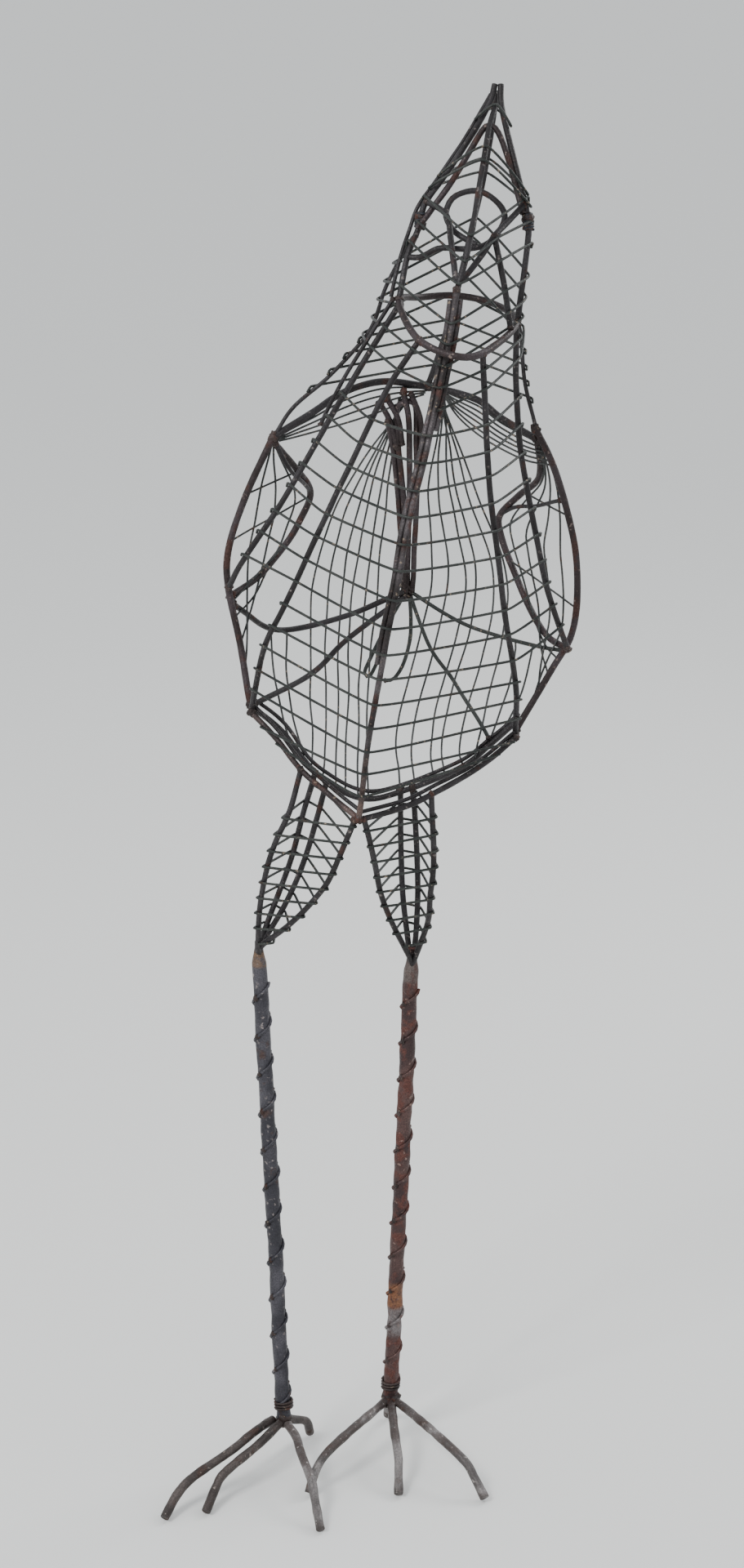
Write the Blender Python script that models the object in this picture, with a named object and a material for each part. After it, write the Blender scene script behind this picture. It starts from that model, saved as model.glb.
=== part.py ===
"""A tall bird of bent iron rod and wound wire, on two straight legs, with its beak raised.

Lengths are in millimetres and become metres where a curve is made. X runs to the right of
someone who faces the bird, Y runs away from them and Z is up. Left and right are theirs.
"""

import math

import bpy
import numpy as np
from mathutils import Vector

MM = 0.001

# Thickness of the bars, as radii
LEG_RADIUS = 6.0
TOE_RADIUS = 3.6
THICK_RADIUS = 2.7
ROD_RADIUS = 2.3
STAY_RADIUS = 1.6
WIRE_RADIUS = 1.1

# Clear space between two pieces that touch, and between the end of a bar and what it meets
CLEARANCE = 0.3
JOINT_GAP = 0.5

# How a wire is fitted over rods
TIGHTENING_ROUNDS = 6
LEAST_CROSSING = 0.15
LEAST_FACING = 0.5
WIRE_SLACK = 1.03

# Sides of the round sections, as bevel resolution
LEG_ROUND = 2
ROD_ROUND = 1
WIRE_ROUND = 0

# Distance between the points of a bent rod
ROD_STEP = 26.0
TOE_STEP = 22.0
THIGH_STEP = 15.0
RING_STEP = 24.0
FACE_STEP = 14.0
SPINE_STEP = 13.0
LOOP_STEP = 9.0
TRIM_STEP = 0.5
SECTION_POINTS = 12

# The middle of the bird's footprint, which becomes the origin
MIDDLE = (-3.04, 2.46)

COLLECTION_NAME = "wire_sculpture"

# Colours and finish of the metal
METALLIC = 0.75
ROUGHNESS = 0.6
DARK_IRON = (0.030, 0.024, 0.022)
RUSTY_IRON = (0.085, 0.036, 0.024)
GREY_IRON = (0.110, 0.105, 0.110)
RUST_RED = (0.170, 0.062, 0.034)
THIN_IRON = (0.034, 0.040, 0.036)
TOE_GREY = (0.210, 0.190, 0.175)

# Head and beak. Every route here and below runs on to the joint that it ends in, where it is trimmed
HEAD_ROUTES = {
    "left_head_rod": [(91, 67, 1085), (87, 60, 1072), (72, 42, 1048), (51, 25, 1020), (39, 18, 1003),
                      (35, 15, 987), (26, 5, 966), (20, -4, 937)],
    "right_head_rod": [(97, 67, 1085), (97, 60, 1070), (101, 42, 1048), (107, 28, 1023), (113, 19, 1001),
                       (115, 15, 986), (114, 10, 974), (111, 0, 949), (107, -7, 921)],
    "beak_centre_rod": [(92, 56, 1071), (85, 33, 1052), (77, -8, 1012), (69, -42, 978), (61, -53, 950)],
    "jaw_rod": [(40, 18, 1005), (54, 4, 997), (57, -16, 982), (59, -32, 968), (63, -43, 955), (79, -29, 971),
                (89, -14, 984), (98, 0, 991), (112, 18, 1003)],
    "nape_rod": [(94, 73, 1079), (91, 77, 1066), (84, 75, 1017), (72, 65, 967), (57, 58, 906), (43, 72, 860)],
}
FACE_LOOP = [(28, 4, 966), (36, -1, 967), (49, -7, 974), (68, -13, 974), (85, -8, 978), (97, 8, 993),
             (92, 18, 1004), (77, 24, 1012), (60, 20, 1008), (54, 12, 996), (59, 2, 986), (66, -4, 981)]
EYE_HEIGHTS = {"left_head_rod": 991, "right_head_rod": 990}
EYE_TURNS = 2.5
EYE_PITCH = 4.0
EYE_POINTS = 8

# Neck
NECK_ROUTES = {
    "right_throat_rod": [(89, -15, 983), (93, -22, 964), (97, -25, 944), (101, -24, 919)],
    "left_nape_wire": [(33, 15, 981), (30, 30, 977), (23, 42, 964), (10, 42, 938), (-2, 42, 905), (-32, 40, 872),
                       (-60, 36, 848), (-74, 29, 828)],
    "right_nape_wire": [(105, 18, 922), (111, 32, 905), (115, 31, 868), (124, 30, 832)],
}
NECK_RING = [(20, -5, 935), (33, -52, 915), (58, -70, 906), (80, -59, 906), (106, -8, 919),
             (92, 40, 926), (64, 50, 931), (36, 38, 932)]

# Breast: the keel rod with a rod on each side of it, then the rods further round
KEEL = [(61, -53, 951), (53, -60, 902), (41, -80, 848), (28, -104, 796), (17, -115, 741),
        (9, -110, 696), (-2, -92, 629), (-10, -62, 555)]
KEEL_BUNDLE_ANGLE = 43.0
KEEL_COVER = 1.0
LEFT_KEEL_FOOT = 686
RIGHT_KEEL_FOOT = 850
KEEL_SIDES_TOP = 944
BREAST_ROUTES = {
    "left_breast_rod": [(34, -53, 914), (14, -50, 883), (-8, -47, 838), (-34, -47, 783), (-65, -38, 713),
                        (-81, -25, 678), (-92, 5, 622)],
    "left_side_rod": [(20, -7, 933), (-9, -8, 886), (-37, 0, 837), (-66, 0, 786), (-95, 5, 741), (-109, 24, 713)],
    "right_breast_rod": [(80, -58, 905), (82, -50, 874), (85, -50, 815), (92, -47, 761), (101, -33, 693),
                         (109, -12, 645), (110, 6, 602)],
    "right_side_rod": [(106, -9, 918), (106, -8, 873), (111, -8, 820), (121, -10, 769), (132, -6, 719),
                       (149, 18, 667)],
}

# Shoulders, wings and back
SHOULDER_ROUTES = {
    "left_shoulder_rod": [(-74, 29, 828), (-45, 47, 843), (-20, 62, 856), (10, 74, 862), (44, 79, 857)],
    "right_shoulder_rod": [(47, 79, 857), (80, 70, 849), (98, 58, 837), (123, 32, 826)],
}
WING_ROUTES = {
    "left_wing_edge": [(-75, 27, 827), (-96, 30, 781), (-109, 32, 742), (-110, 30, 711), (-101, 24, 668),
                       (-93, 11, 623)],
    "left_wing_rod": [(-74, 31, 823), (-57, 60, 796), (-48, 84, 773), (-57, 92, 748), (-68, 86, 731),
                      (-87, 62, 713), (-108, 33, 704)],
    "right_wing_edge": [(123, 30, 834), (138, 28, 803), (152, 30, 755), (157, 30, 714), (153, 26, 676),
                        (138, 22, 648), (111, 11, 604)],
    "right_wing_rod": [(125, 32, 824), (128, 62, 790), (114, 84, 771), (100, 99, 752), (101, 101, 736),
                       (108, 97, 715), (121, 80, 687), (135, 52, 668), (150, 27, 663)],
}
SPINE_LOOP = [(26, 127, 686), (25, 104, 757), (20, 86, 812), (19, 77, 840), (25, 75, 846), (33, 78, 843),
              (34, 86, 815), (35, 102, 765), (32, 127, 686)]
TAIL_STAYS = {
    "left_tail_stay": [(27, 127, 685), (-15, 112, 670), (-51, 94, 664), (-79, 72, 668), (-105, 34, 696)],
    "right_tail_stay": [(31, 127, 684), (68, 104, 666), (100, 82, 659), (130, 50, 659), (146, 27, 662)],
    "left_hip_stay": [(27, 127, 681), (-20, 100, 652), (-48, 70, 632), (-90, 18, 622)],
    "right_hip_stay": [(31, 127, 680), (46, 98, 646), (66, 66, 624), (90, 22, 594)],
}
TAIL_LOOPS = {
    "left_tail_loop": [(26, 130, 682), (8, 142, 645), (-4, 150, 618), (-6, 152, 610), (-2, 152, 608),
                       (4, 149, 620)],
    "right_tail_loop": [(30, 130, 681), (31, 140, 655), (30, 146, 638), (25, 150, 618), (18, 152, 606),
                        (11, 153, 604)],
}

# Lower edge of the body
RIM_ROUTES = {
    "left_hip_rim": [(-92, 4, 619), (-72, -10, 601), (-53, -27, 582), (-34, -42, 569), (-11, -60, 555)],
    "right_hip_rim": [(110, 2, 600), (84, -14, 583), (59, -32, 572), (27, -49, 561), (-9, -61, 554)],
    "rear_rim": [(-94, 22, 620), (-70, 20, 600), (-42, 10, 568), (-7, 2, 551), (28, 4, 558), (69, 12, 573),
                 (92, 20, 590), (112, 20, 608)],
}

# Thighs: two bent rods each, in front of and behind the top of the leg
THIGH_ROUTES = {
    "left_thigh_front": [(-54, -27, 582), (-62, -34, 553), (-74, -31, 526), (-82, -24, 497), (-87, -15, 465),
                         (-90, -6, 431), (-89, -3, 422), (-84, -5, 431), (-62, -20, 455), (-41, -37, 486),
                         (-29, -48, 509), (-13, -59, 553)],
    "left_thigh_rear": [(-44, 11, 569), (-51, 20, 542), (-62, 20, 500), (-72, 16, 470), (-86, 6, 434),
                        (-85, 4, 425), (-80, 5, 434), (-66, 10, 462), (-50, 14, 505), (-35, 8, 563)],
    "right_thigh_front": [(-6, -61, 554), (2, -50, 516), (6, -40, 492), (12, -29, 469), (18, -19, 451),
                          (28, -6, 422), (31, -3, 414), (36, -5, 423), (43, -17, 457), (45, -28, 483),
                          (47, -35, 512), (45, -40, 567)],
    "right_thigh_rear": [(22, 4, 557), (22, 19, 520), (23, 22, 490), (25, 17, 460), (28, 8, 424),
                         (31, 5, 416), (34, 8, 425), (36, 17, 462), (35, 22, 494), (33, 16, 536), (31, 4, 559)],
}

# Legs, as (x, y) at the knee and at the ankle. They stand between the thigh rods and the long toe
LEGS = {
    "left_leg": [(-88, 0), (-71, -29)],
    "right_leg": [(31, 1), (15, 6)],
}
LONG_TOES = {"left_leg": "left_foot_inner_toe", "right_leg": "right_foot_middle_toe"}

# Toes. An end given by two numbers is a tip on the ground, which the last bend stands above.
# The first toe of each foot runs on under the leg and down again behind it
TOE_TIP_HEIGHT = 9.0
TOES = {
    "left_foot_inner_toe": [(-40, -146), (-45, -120, 15), (-48, -106, 24), (-57, -74, 32), (-61, -54, 34),
                            (-68, -34, 34), (-70, -24, 34), (-64, -14, 28), (-54, 0, 19), (-51, 10)],
    "left_foot_outer_toe": [(-80, -29, 36), (-97, -55, 36), (-111, -74, 33), (-140, -100, 24), (-153, -113, 15),
                            (-162, -129)],
    "left_foot_middle_toe": [(-74, -34, 35), (-90, -62, 32), (-116, -92, 23), (-123, -101, 15), (-130, -119)],
    "right_foot_middle_toe": [(21, -91), (21, -74, 15), (21, -64, 21), (18, -36, 33), (16, -4, 34), (15, 8, 34),
                              (15, 20, 28), (14, 32, 17), (13, 40)],
    "right_foot_outer_toe": [(17, 6, 36), (34, -22, 36), (53, -50, 33), (74, -77, 24), (81, -86, 15), (89, -98)],
    "right_foot_inner_toe": [(13, 6, 36), (-8, -32, 36), (-35, -70, 29), (-45, -82, 18), (-50, -90)],
}

# Wire wound to and fro over each half of the breast: heights of its first and last rows on each rod
BREAST_ROWS = 13
BREAST_FACING = 0.7
KEEL_FACING = 0.5
TURN_DEPTH = 0.2
BREAST_HEIGHTS = {
    "left_side_rod": (867.0, 645.0),
    "left_breast_rod": (857.0, 635.0),
    "keel_rod": (848.0, 614.0),
    "right_breast_rod": (854.0, 615.0),
    "right_side_rod": (866.0, 626.0),
}
LAST_SIDE_ROWS = {"left": 7, "right": 9}

# Wire wound round the neck, below and above its ring, and round the beak
LOWER_NECK_TURNS = 2
LOWER_NECK_HEIGHTS = [("left_side_rod", 896, 922), ("left_breast_rod", 878, 906), ("keel_rod", 864, 894),
                      ("right_breast_rod", 874, 900), ("right_side_rod", 890, 910), ("right_nape_wire", 900, 914),
                      ("nape_rod", 905, 924), ("left_nape_wire", 900, 920)]
UPPER_NECK_TURNS = 3
UPPER_NECK_HEIGHTS = [("keel_rod", 922, 948), ("right_throat_rod", 932, 960), ("right_head_rod", 938, 972),
                      ("nape_rod", 950, 985), ("left_nape_wire", 944, 962), ("left_head_rod", 948, 973)]
BEAK_TURNS = 3
BEAK_HEIGHTS = [("beak_centre_rod", 1030, 1062), ("right_head_rod", 1005, 1044), ("nape_rod", 1016, 1052),
                ("left_head_rod", 1012, 1046)]

# Back of the body: its width, the middle and the edge of its surface, by height
WIDEST_HEIGHT = 715.0
TOP_HEIGHT = 861.0
BOTTOM_HEIGHT = 553.0
HALF_WIDTH = 133.0
TOP_FULLNESS = 2.2
BOTTOM_FULLNESS = 1.7
BODY_MIDDLE = [(553, -9), (600, 14), (660, 25), (861, 22)]
SPINE_ACROSS = [(553, -8), (597, 4), (682, 22), (771, 32), (861, 40)]
SPINE_DEPTH = [(553, -30), (590, 80), (640, 121), (700, 131), (790, 108), (861, 84)]
EDGE_DEPTH = [(553, -50), (580, -20), (610, 10), (660, 26), (740, 34), (827, 34), (843, 50), (861, 78)]
BACK_WIRE_SHARES = [0.14, 0.23, 0.33, 0.43, 0.53, 0.64, 0.74, 0.82, 0.90]
BACK_WIRE_TOP_GAP = 14.0
BACK_WIRE_FOOT_GAP = 13.0
BACK_WIRE_TOP = TOP_HEIGHT - BACK_WIRE_TOP_GAP
BACK_WIRE_FOOT = BOTTOM_HEIGHT + BACK_WIRE_FOOT_GAP
BACK_WIRE_DROP = 14.0
BACK_WIRE_FOOT_RISE = 46.0
BACK_WIRE_POINTS = 8

# How a back wire that meets a bar is lifted over it, and how closely that is looked at
LIFT_ROUNDS = 12
LIFT_STEP = 1.5
LOOK_STEP = 4.0

# Wire wound round the legs and the thighs
LEG_WIRE_PITCH = 31.0
LEG_WIRE_POINTS = 7
LEG_WIRE_ENDS = (22.0, 14.0)
THIGH_TURNS = 7
THIGH_HEIGHTS = (450.0, 541.0)


def smooth(bends, closed=False, fineness=16):
    """A dense curve through the bends, which rounds them as a bent rod does."""
    points = [np.array(bend, float) for bend in bends]
    count = len(points)
    if closed:
        before = [points[-1]] + points[:-1]
        spans = range(count)
        following = points[1:] + [points[0]]
    else:
        before = [2 * points[0] - points[1]] + points[:-1]
        spans = range(count - 1)
        following = points[1:] + [2 * points[-1] - points[-2]]
    dense = []
    for i in spans:
        start, end = points[i], following[i]
        after = following[(i + 1) % count]
        leave = (end - before[i]) / 2
        arrive = (after - start) / 2
        for t in np.linspace(0, 1, fineness, endpoint=False):
            dense.append((2 * t**3 - 3 * t**2 + 1) * start + (t**3 - 2 * t**2 + t) * leave
                         + (3 * t**2 - 2 * t**3) * end + (t**3 - t**2) * arrive)
    if not closed:
        dense.append(points[-1])
    return np.array(dense)


def spaced(dense, step, closed=False):
    """The points that lie at equal distances, about one step, along a dense curve."""
    if closed:
        dense = np.vstack([dense, dense[:1]])
    run = np.concatenate([[0], np.cumsum(np.linalg.norm(np.diff(dense, axis=0), axis=1))])
    count = max(2, round(run[-1] / step)) + 1
    marks = np.linspace(0, run[-1], count)
    points = np.column_stack([np.interp(marks, run, dense[:, axis]) for axis in range(3)])
    return points[:-1] if closed else points


def unit(vector):
    return vector / np.linalg.norm(vector)


def at_height(points, height):
    """The point of a bar at a height, and the direction in which the bar runs there."""
    for start, end in zip(points[:-1], points[1:]):
        if min(start[2], end[2]) <= height <= max(start[2], end[2]):
            share = (height - start[2]) / (end[2] - start[2])
            return start + (end - start) * share, unit(end - start)
    end = 0 if abs(points[0][2] - height) < abs(points[-1][2] - height) else -1
    return points[end], unit(points[0] - points[1] if end == 0 else points[-1] - points[-2])


def is_clear(route, i, radius):
    """Whether the section of a bar at one point of its route stays clear of the bars made so far."""
    run = unit(route[min(i + 1, len(route) - 1)] - route[max(i - 1, 0)])
    side = unit(np.cross(run, np.roll(run, 1) + (0.1, 0.2, 0.3)))
    rise = np.cross(run, side)
    angles = np.linspace(0, 2 * math.pi, SECTION_POINTS, endpoint=False)
    section = route[i] + radius * (np.cos(angles)[:, None] * side + np.sin(angles)[:, None] * rise)
    for points, other_radius in PLACED:
        starts, runs = points[:-1], np.diff(points, axis=0)
        offsets = section[:, None] - starts
        shares = np.clip((offsets * runs).sum(axis=2) / (runs * runs).sum(axis=1), 0, 1)
        distances = np.linalg.norm(offsets - shares[..., None] * runs, axis=2)
        if distances.min() < other_radius + JOINT_GAP:
            return False
    return True


def trimmed(route, radius, start=True, end=True):
    """The route without the stretches at its ends that run into the bars made so far."""
    route = spaced(route, TRIM_STEP)
    first, last = 0, len(route) - 1
    while start and first < last and not is_clear(route, first, radius):
        first += 1
    while end and last > first and not is_clear(route, last, radius):
        last -= 1
    return route[first:last + 1]


def at(table, height):
    """The value of a named profile at a height."""
    heights = [row[0] for row in table]
    values = [row[1] for row in table]
    return float(np.interp(height, heights, values))


def metal(name, colour):
    material = bpy.data.materials.new(name)
    material.use_nodes = True
    shader = material.node_tree.nodes["Principled BSDF"]
    shader.inputs["Base Color"].default_value = (*colour, 1)
    shader.inputs["Metallic"].default_value = METALLIC
    shader.inputs["Roughness"].default_value = ROUGHNESS
    return material


def bar(name, points, radius, colour, round_sides=ROD_ROUND, closed=False):
    """A round bar along the points, as a curve object with its origin on the first point."""
    curve = bpy.data.curves.new(name, "CURVE")
    curve.dimensions = "3D"
    curve.bevel_depth = radius * MM
    curve.bevel_resolution = round_sides
    curve.use_fill_caps = True
    spline = curve.splines.new("POLY")
    spline.points.add(len(points) - 1)
    spline.use_cyclic_u = closed
    start = np.array(points[0])
    for i, point in enumerate(points):
        spline.points[i].co = (*((np.array(point) - start) * MM), 1)
    PLACED.append((np.array([*points, points[0]] if closed else points), radius))
    curve.materials.append(metal(name + "_metal", colour))
    piece = bpy.data.objects.new(name, curve)
    piece.location = Vector(((start[0] - MIDDLE[0]) * MM, (start[1] - MIDDLE[1]) * MM, start[2] * MM))
    piece.parent = BIRD
    PARTS.objects.link(piece)
    return piece


def bent_rods(routes, radius, colour, step=ROD_STEP):
    """One bar for each named route. Returns their points, for the wire that is wound on them."""
    bars = {}
    for name, bends in routes.items():
        bars[name] = spaced(trimmed(smooth(bends), radius), step)
        bar(name, bars[name], radius, colour)
    return bars


def over_rods(crossings):
    """A wire pulled tight over rods. A crossing is (point, direction of the rod, outward, radius, turning).

    Where the wire turns back it crosses straight outward. Elsewhere the outward side is only a
    hint, and each crossing stands off far enough for both of its straight stretches to clear.
    """
    path = [point + unit(outward) * radius for point, _, outward, radius, _ in crossings]
    for _ in range(TIGHTENING_ROUNDS):
        tighter = []
        for i, (point, rod_run, outward, radius, turning) in enumerate(crossings):
            stretches = [unit(path[j] - path[i]) for j in (i - 1, i + 1) if 0 <= j < len(path)]
            away = unit(outward - np.dot(outward, rod_run) * rod_run)
            if not turning:
                along = stretches[-1] - stretches[0] if len(stretches) > 1 else stretches[0]
                across = unit(np.cross(rod_run, along))
                away = across if np.dot(across, away) > 0 else -across
            stand_off = 1.0
            for stretch in stretches:
                normal = np.cross(rod_run, stretch)
                if np.linalg.norm(normal) > LEAST_CROSSING:
                    facing = abs(np.dot(away, unit(normal)))
                    stand_off = max(stand_off, 1 / max(facing, LEAST_FACING))
            reach = (radius + WIRE_RADIUS + CLEARANCE) * stand_off * WIRE_SLACK
            tighter.append(point + away * reach)
        path = tighter
    return path


def back_surface(share, height):
    """A point on the back of the body: share is 0 on the spine and 1 or -1 at the edges."""
    if height > WIDEST_HEIGHT:
        reach = (height - WIDEST_HEIGHT) / (TOP_HEIGHT - WIDEST_HEIGHT)
        fullness = TOP_FULLNESS
    else:
        reach = (WIDEST_HEIGHT - height) / (WIDEST_HEIGHT - BOTTOM_HEIGHT)
        fullness = BOTTOM_FULLNESS
    half = HALF_WIDTH * max(0.0, 1 - reach**fullness) ** (1 / fullness)
    spine = at(SPINE_ACROSS, height)
    edge = at(BODY_MIDDLE, height) + math.copysign(half, share)
    depth = at(EDGE_DEPTH, height)
    bulge = (at(SPINE_DEPTH, height) - depth) * math.sqrt(max(0.0, 1 - share**2))
    return np.array([spine + (edge - spine) * abs(share), depth + bulge, height])


def make_head():
    bars = {}
    for name, bends in HEAD_ROUTES.items():
        bars.update(bent_rods({name: bends}, ROD_RADIUS, DARK_IRON))
        if name in EYE_HEIGHTS:
            make_eye_coil(name.replace("head_rod", "eye_coil"), bars[name], EYE_HEIGHTS[name])
    loop = trimmed(smooth(FACE_LOOP), ROD_RADIUS, end=False)
    bar("face_loop", spaced(loop, FACE_STEP), ROD_RADIUS, DARK_IRON)
    return bars


def make_eye_coil(name, rod, height):
    """A few turns of wire round the rod at the corner of the head."""
    middle, along = at_height(rod, height)
    points = coil(middle - along * EYE_PITCH * EYE_TURNS / 2, along, ROD_RADIUS, EYE_PITCH, EYE_POINTS,
                  int(EYE_TURNS * EYE_POINTS))
    bar(name, points, WIRE_RADIUS, GREY_IRON, WIRE_ROUND)


def coil(start, along, core_radius, pitch, around, count):
    """Points of a wire wound round a straight bar, so that each stretch between two of them clears it."""
    across = unit(np.cross(along, (0, 1, 0)))
    ahead = np.cross(along, across)
    reach = (core_radius + WIRE_RADIUS + CLEARANCE) / math.cos(math.pi / around)
    angles = [2 * math.pi * i / around for i in range(count + 1)]
    return [start + along * pitch * i / around + reach * (math.cos(angle) * across + math.sin(angle) * ahead)
            for i, angle in enumerate(angles)]


def make_breast():
    """The keel rod, the two rods that lie along its sides, and the rods to the left and right."""
    keel = spaced(smooth(KEEL), ROD_STEP)
    bars = {"keel_rod": keel}
    bar("keel_rod", keel, ROD_RADIUS, RUSTY_IRON)
    apart = 2 * ROD_RADIUS + CLEARANCE
    aside = apart * math.cos(math.radians(KEEL_BUNDLE_ANGLE))
    behind = apart * math.sin(math.radians(KEEL_BUNDLE_ANGLE))
    for name, across, foot, colour in (("left_keel_rod", -aside, LEFT_KEEL_FOOT, RUSTY_IRON),
                                       ("right_keel_rod", aside, RIGHT_KEEL_FOOT, GREY_IRON)):
        stretch = keel[(keel[:, 2] > foot) & (keel[:, 2] < KEEL_SIDES_TOP)]
        bar(name, stretch + (across, behind, 0), ROD_RADIUS, colour)
    ring = spaced(smooth(NECK_RING, closed=True), RING_STEP, closed=True)
    bar("neck_ring", ring, THICK_RADIUS, RUSTY_IRON, closed=True)
    bars.update(bent_rods(BREAST_ROUTES, ROD_RADIUS, DARK_IRON))
    return bars


def make_back():
    bent_rods(SHOULDER_ROUTES, THICK_RADIUS, DARK_IRON)
    bent_rods(WING_ROUTES, THICK_RADIUS, RUSTY_IRON)
    bent_rods(RIM_ROUTES, ROD_RADIUS, DARK_IRON)
    bar("spine_rod", spaced(smooth(SPINE_LOOP), SPINE_STEP), ROD_RADIUS, RUSTY_IRON)
    bent_rods(TAIL_STAYS, STAY_RADIUS, GREY_IRON)
    bent_rods(TAIL_LOOPS, STAY_RADIUS, DARK_IRON, LOOP_STEP)


def make_legs(bars):
    """Each leg stands on its long toe and ends just below the bends of its thigh rods."""
    for leg, toe in LONG_TOES.items():
        make_toe(toe, TOES[toe])
    for leg, (knee, ankle) in LEGS.items():
        flank = leg.split("_")[0]
        lowest_bend = min(bars[flank + part][:, 2].min() for part in ("_thigh_front", "_thigh_rear"))
        toe = smooth([bend for bend in TOES[LONG_TOES[leg]] if len(bend) == 3])
        toe_height = toe[np.argmin(np.hypot(toe[:, 0] - ankle[0], toe[:, 1] - ankle[1])), 2]
        lean = LEG_RADIUS * math.dist(knee, ankle) / (lowest_bend - toe_height)
        top = np.array([*knee, lowest_bend - ROD_RADIUS - CLEARANCE - lean])
        foot = np.array([*ankle, toe_height + TOE_RADIUS + CLEARANCE + lean])
        colour = GREY_IRON if flank == "left" else RUST_RED
        bar(leg, np.linspace(top, foot, 3), LEG_RADIUS, colour, LEG_ROUND)
        down = unit(foot - top)
        length = np.linalg.norm(foot - top) - sum(LEG_WIRE_ENDS)
        points = coil(top + down * LEG_WIRE_ENDS[0], down, LEG_RADIUS, LEG_WIRE_PITCH, LEG_WIRE_POINTS,
                      int(length / LEG_WIRE_PITCH * LEG_WIRE_POINTS))
        bar(leg + "_wire", points, WIRE_RADIUS, colour, WIRE_ROUND)
    for name, bends in TOES.items():
        if name not in LONG_TOES.values():
            make_toe(name, bends)


def make_toe(name, bends):
    """A toe whose ends on the ground stand upright, so that they are flat underneath."""
    route = smooth([bend if len(bend) == 3 else (*bend, TOE_TIP_HEIGHT) for bend in bends])
    points = spaced(trimmed(route, TOE_RADIUS, start=len(bends[0]) == 3, end=False), TOE_STEP)
    if len(bends[0]) == 2:
        points = np.vstack([(*bends[0], 0), points])
    points = np.vstack([points, (*bends[-1], 0)])
    bar(name, points, TOE_RADIUS, TOE_GREY, LEG_ROUND)


def wind_thigh(side, bars):
    """Two wires wound over the four rods of a thigh, the upper one where the lower one ends."""
    limbs = []
    for points in (bars[side + "_thigh_front"], bars[side + "_thigh_rear"]):
        foot = int(np.argmin(points[:, 2]))
        limbs += [points[:foot + 1], points[foot:]]
    corners = [limbs[0], limbs[1], limbs[3], limbs[2]]
    crossings = []
    low, high = THIGH_HEIGHTS
    for i in range(THIGH_TURNS * len(corners)):
        height = low + (high - low) * i / (THIGH_TURNS * len(corners) - 1)
        ring = [at_height(limb, height)[0] for limb in corners]
        point, run = at_height(corners[i % len(corners)], height)
        crossings.append((point, run, point - np.mean(ring, axis=0), ROD_RADIUS, False))
    half = len(crossings) // 2
    bar(side + "_thigh_lower_wire", over_rods(crossings[:half]), WIRE_RADIUS, THIN_IRON, WIRE_ROUND)
    bar(side + "_thigh_upper_wire", over_rods(crossings[half:]), WIRE_RADIUS, THIN_IRON, WIRE_ROUND)


def row_height(rod, row):
    first, last = BREAST_HEIGHTS[rod]
    return first + (last - first) * row / (BREAST_ROWS - 1)


def wind_breast(bars):
    """Wire that goes to and fro over each half of the breast, from its outermost rod to the keel.

    The two wires turn back on the keel in turn, each on its own side of the keel's front.
    """
    for side, way in (("left", -1), ("right", 1)):
        crossings = []
        for row in range(BREAST_ROWS):
            met = [side + "_side_rod", side + "_breast_rod"]
            if row > LAST_SIDE_ROWS[side]:
                met = met[1:]
            stops = [crossing(bars, rod, row_height(rod, row), (way * BREAST_FACING, -1, 0)) for rod in met]
            facing = (way * KEEL_FACING, -1, 0)
            stops.append(crossing(bars, "keel_rod", row_height("keel_rod", row), facing, turning=True))
            if (row % 2 == 0) == (side == "left"):
                crossings += stops
                continue
            crossings += stops[::-1]
            if row < BREAST_ROWS - 1:
                middle = (row_height(met[0], row) + row_height(met[0], row + 1)) / 2
                crossings.append(crossing(bars, met[0], middle, (way, TURN_DEPTH, 0), turning=True))
        bar(side + "_breast_wire", over_rods(crossings), WIRE_RADIUS, THIN_IRON, WIRE_ROUND)


def crossing(bars, rod, height, outward, turning=False):
    """One crossing for over_rods. The keel takes a little more room, for the rods along its sides."""
    point, run = at_height(bars[rod], height)
    cover = KEEL_COVER if rod == "keel_rod" else 0.0
    return point, run, np.array(outward, float), ROD_RADIUS + cover, turning


def wind_round(name, bars, heights, turns):
    """Wire wound as a rising spiral over the rods that are listed with its first and last heights."""
    crossings = []
    count = len(heights)
    for i in range(turns * count):
        share = i / (turns * count - 1)
        ring = [at_height(bars[rod], first + (last - first) * share)[0] for rod, first, last in heights]
        rod, first, last = heights[i % count]
        outward = ring[i % count] - np.mean(ring, axis=0)
        crossings.append(crossing(bars, rod, first + (last - first) * share, outward))
    bar(name, over_rods(crossings), WIRE_RADIUS, THIN_IRON, WIRE_ROUND)


def wind_back():
    """Wires that run down the back, to and fro, one on each side."""
    for name, way in (("left_back_wire", -1), ("right_back_wire", 1)):
        points = []
        for i, share in enumerate(BACK_WIRE_SHARES):
            foot = BACK_WIRE_FOOT + BACK_WIRE_FOOT_RISE * share**3
            heights = np.linspace(BACK_WIRE_TOP - BACK_WIRE_DROP * share**3, foot, BACK_WIRE_POINTS)
            line = [back_surface(way * share, height) for height in heights]
            points += line if i % 2 == 0 else line[::-1]
        bar(name, laid_over(points, WIRE_RADIUS), WIRE_RADIUS, THIN_IRON, WIRE_ROUND)


def laid_over(points, radius):
    """The wire lifted away from the body wherever one of its stretches would run into a bar."""
    points = [np.array(point) for point in points]
    pending = set(range(len(points) - 1))
    for _ in range(LIFT_ROUNDS):
        blocked = {i for i in pending if not stretch_is_clear(points[i], points[i + 1], radius)}
        moved = blocked | {i + 1 for i in blocked}
        for i in moved:
            points[i] = points[i] + LIFT_STEP * away_from_body(points[i])
        pending = {j for i in moved for j in (i - 1, i) if 0 <= j < len(points) - 1}
    return points


def stretch_is_clear(start, end, radius):
    stretch = spaced(np.array([start, end]), LOOK_STEP)
    return all(is_clear(stretch, i, radius) for i in range(len(stretch)))


def away_from_body(point):
    """The level direction that leads from the middle of the body to a point on its back."""
    middle = np.array([at(BODY_MIDDLE, point[2]), at(EDGE_DEPTH, point[2]), point[2]])
    return unit(point - middle)


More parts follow.
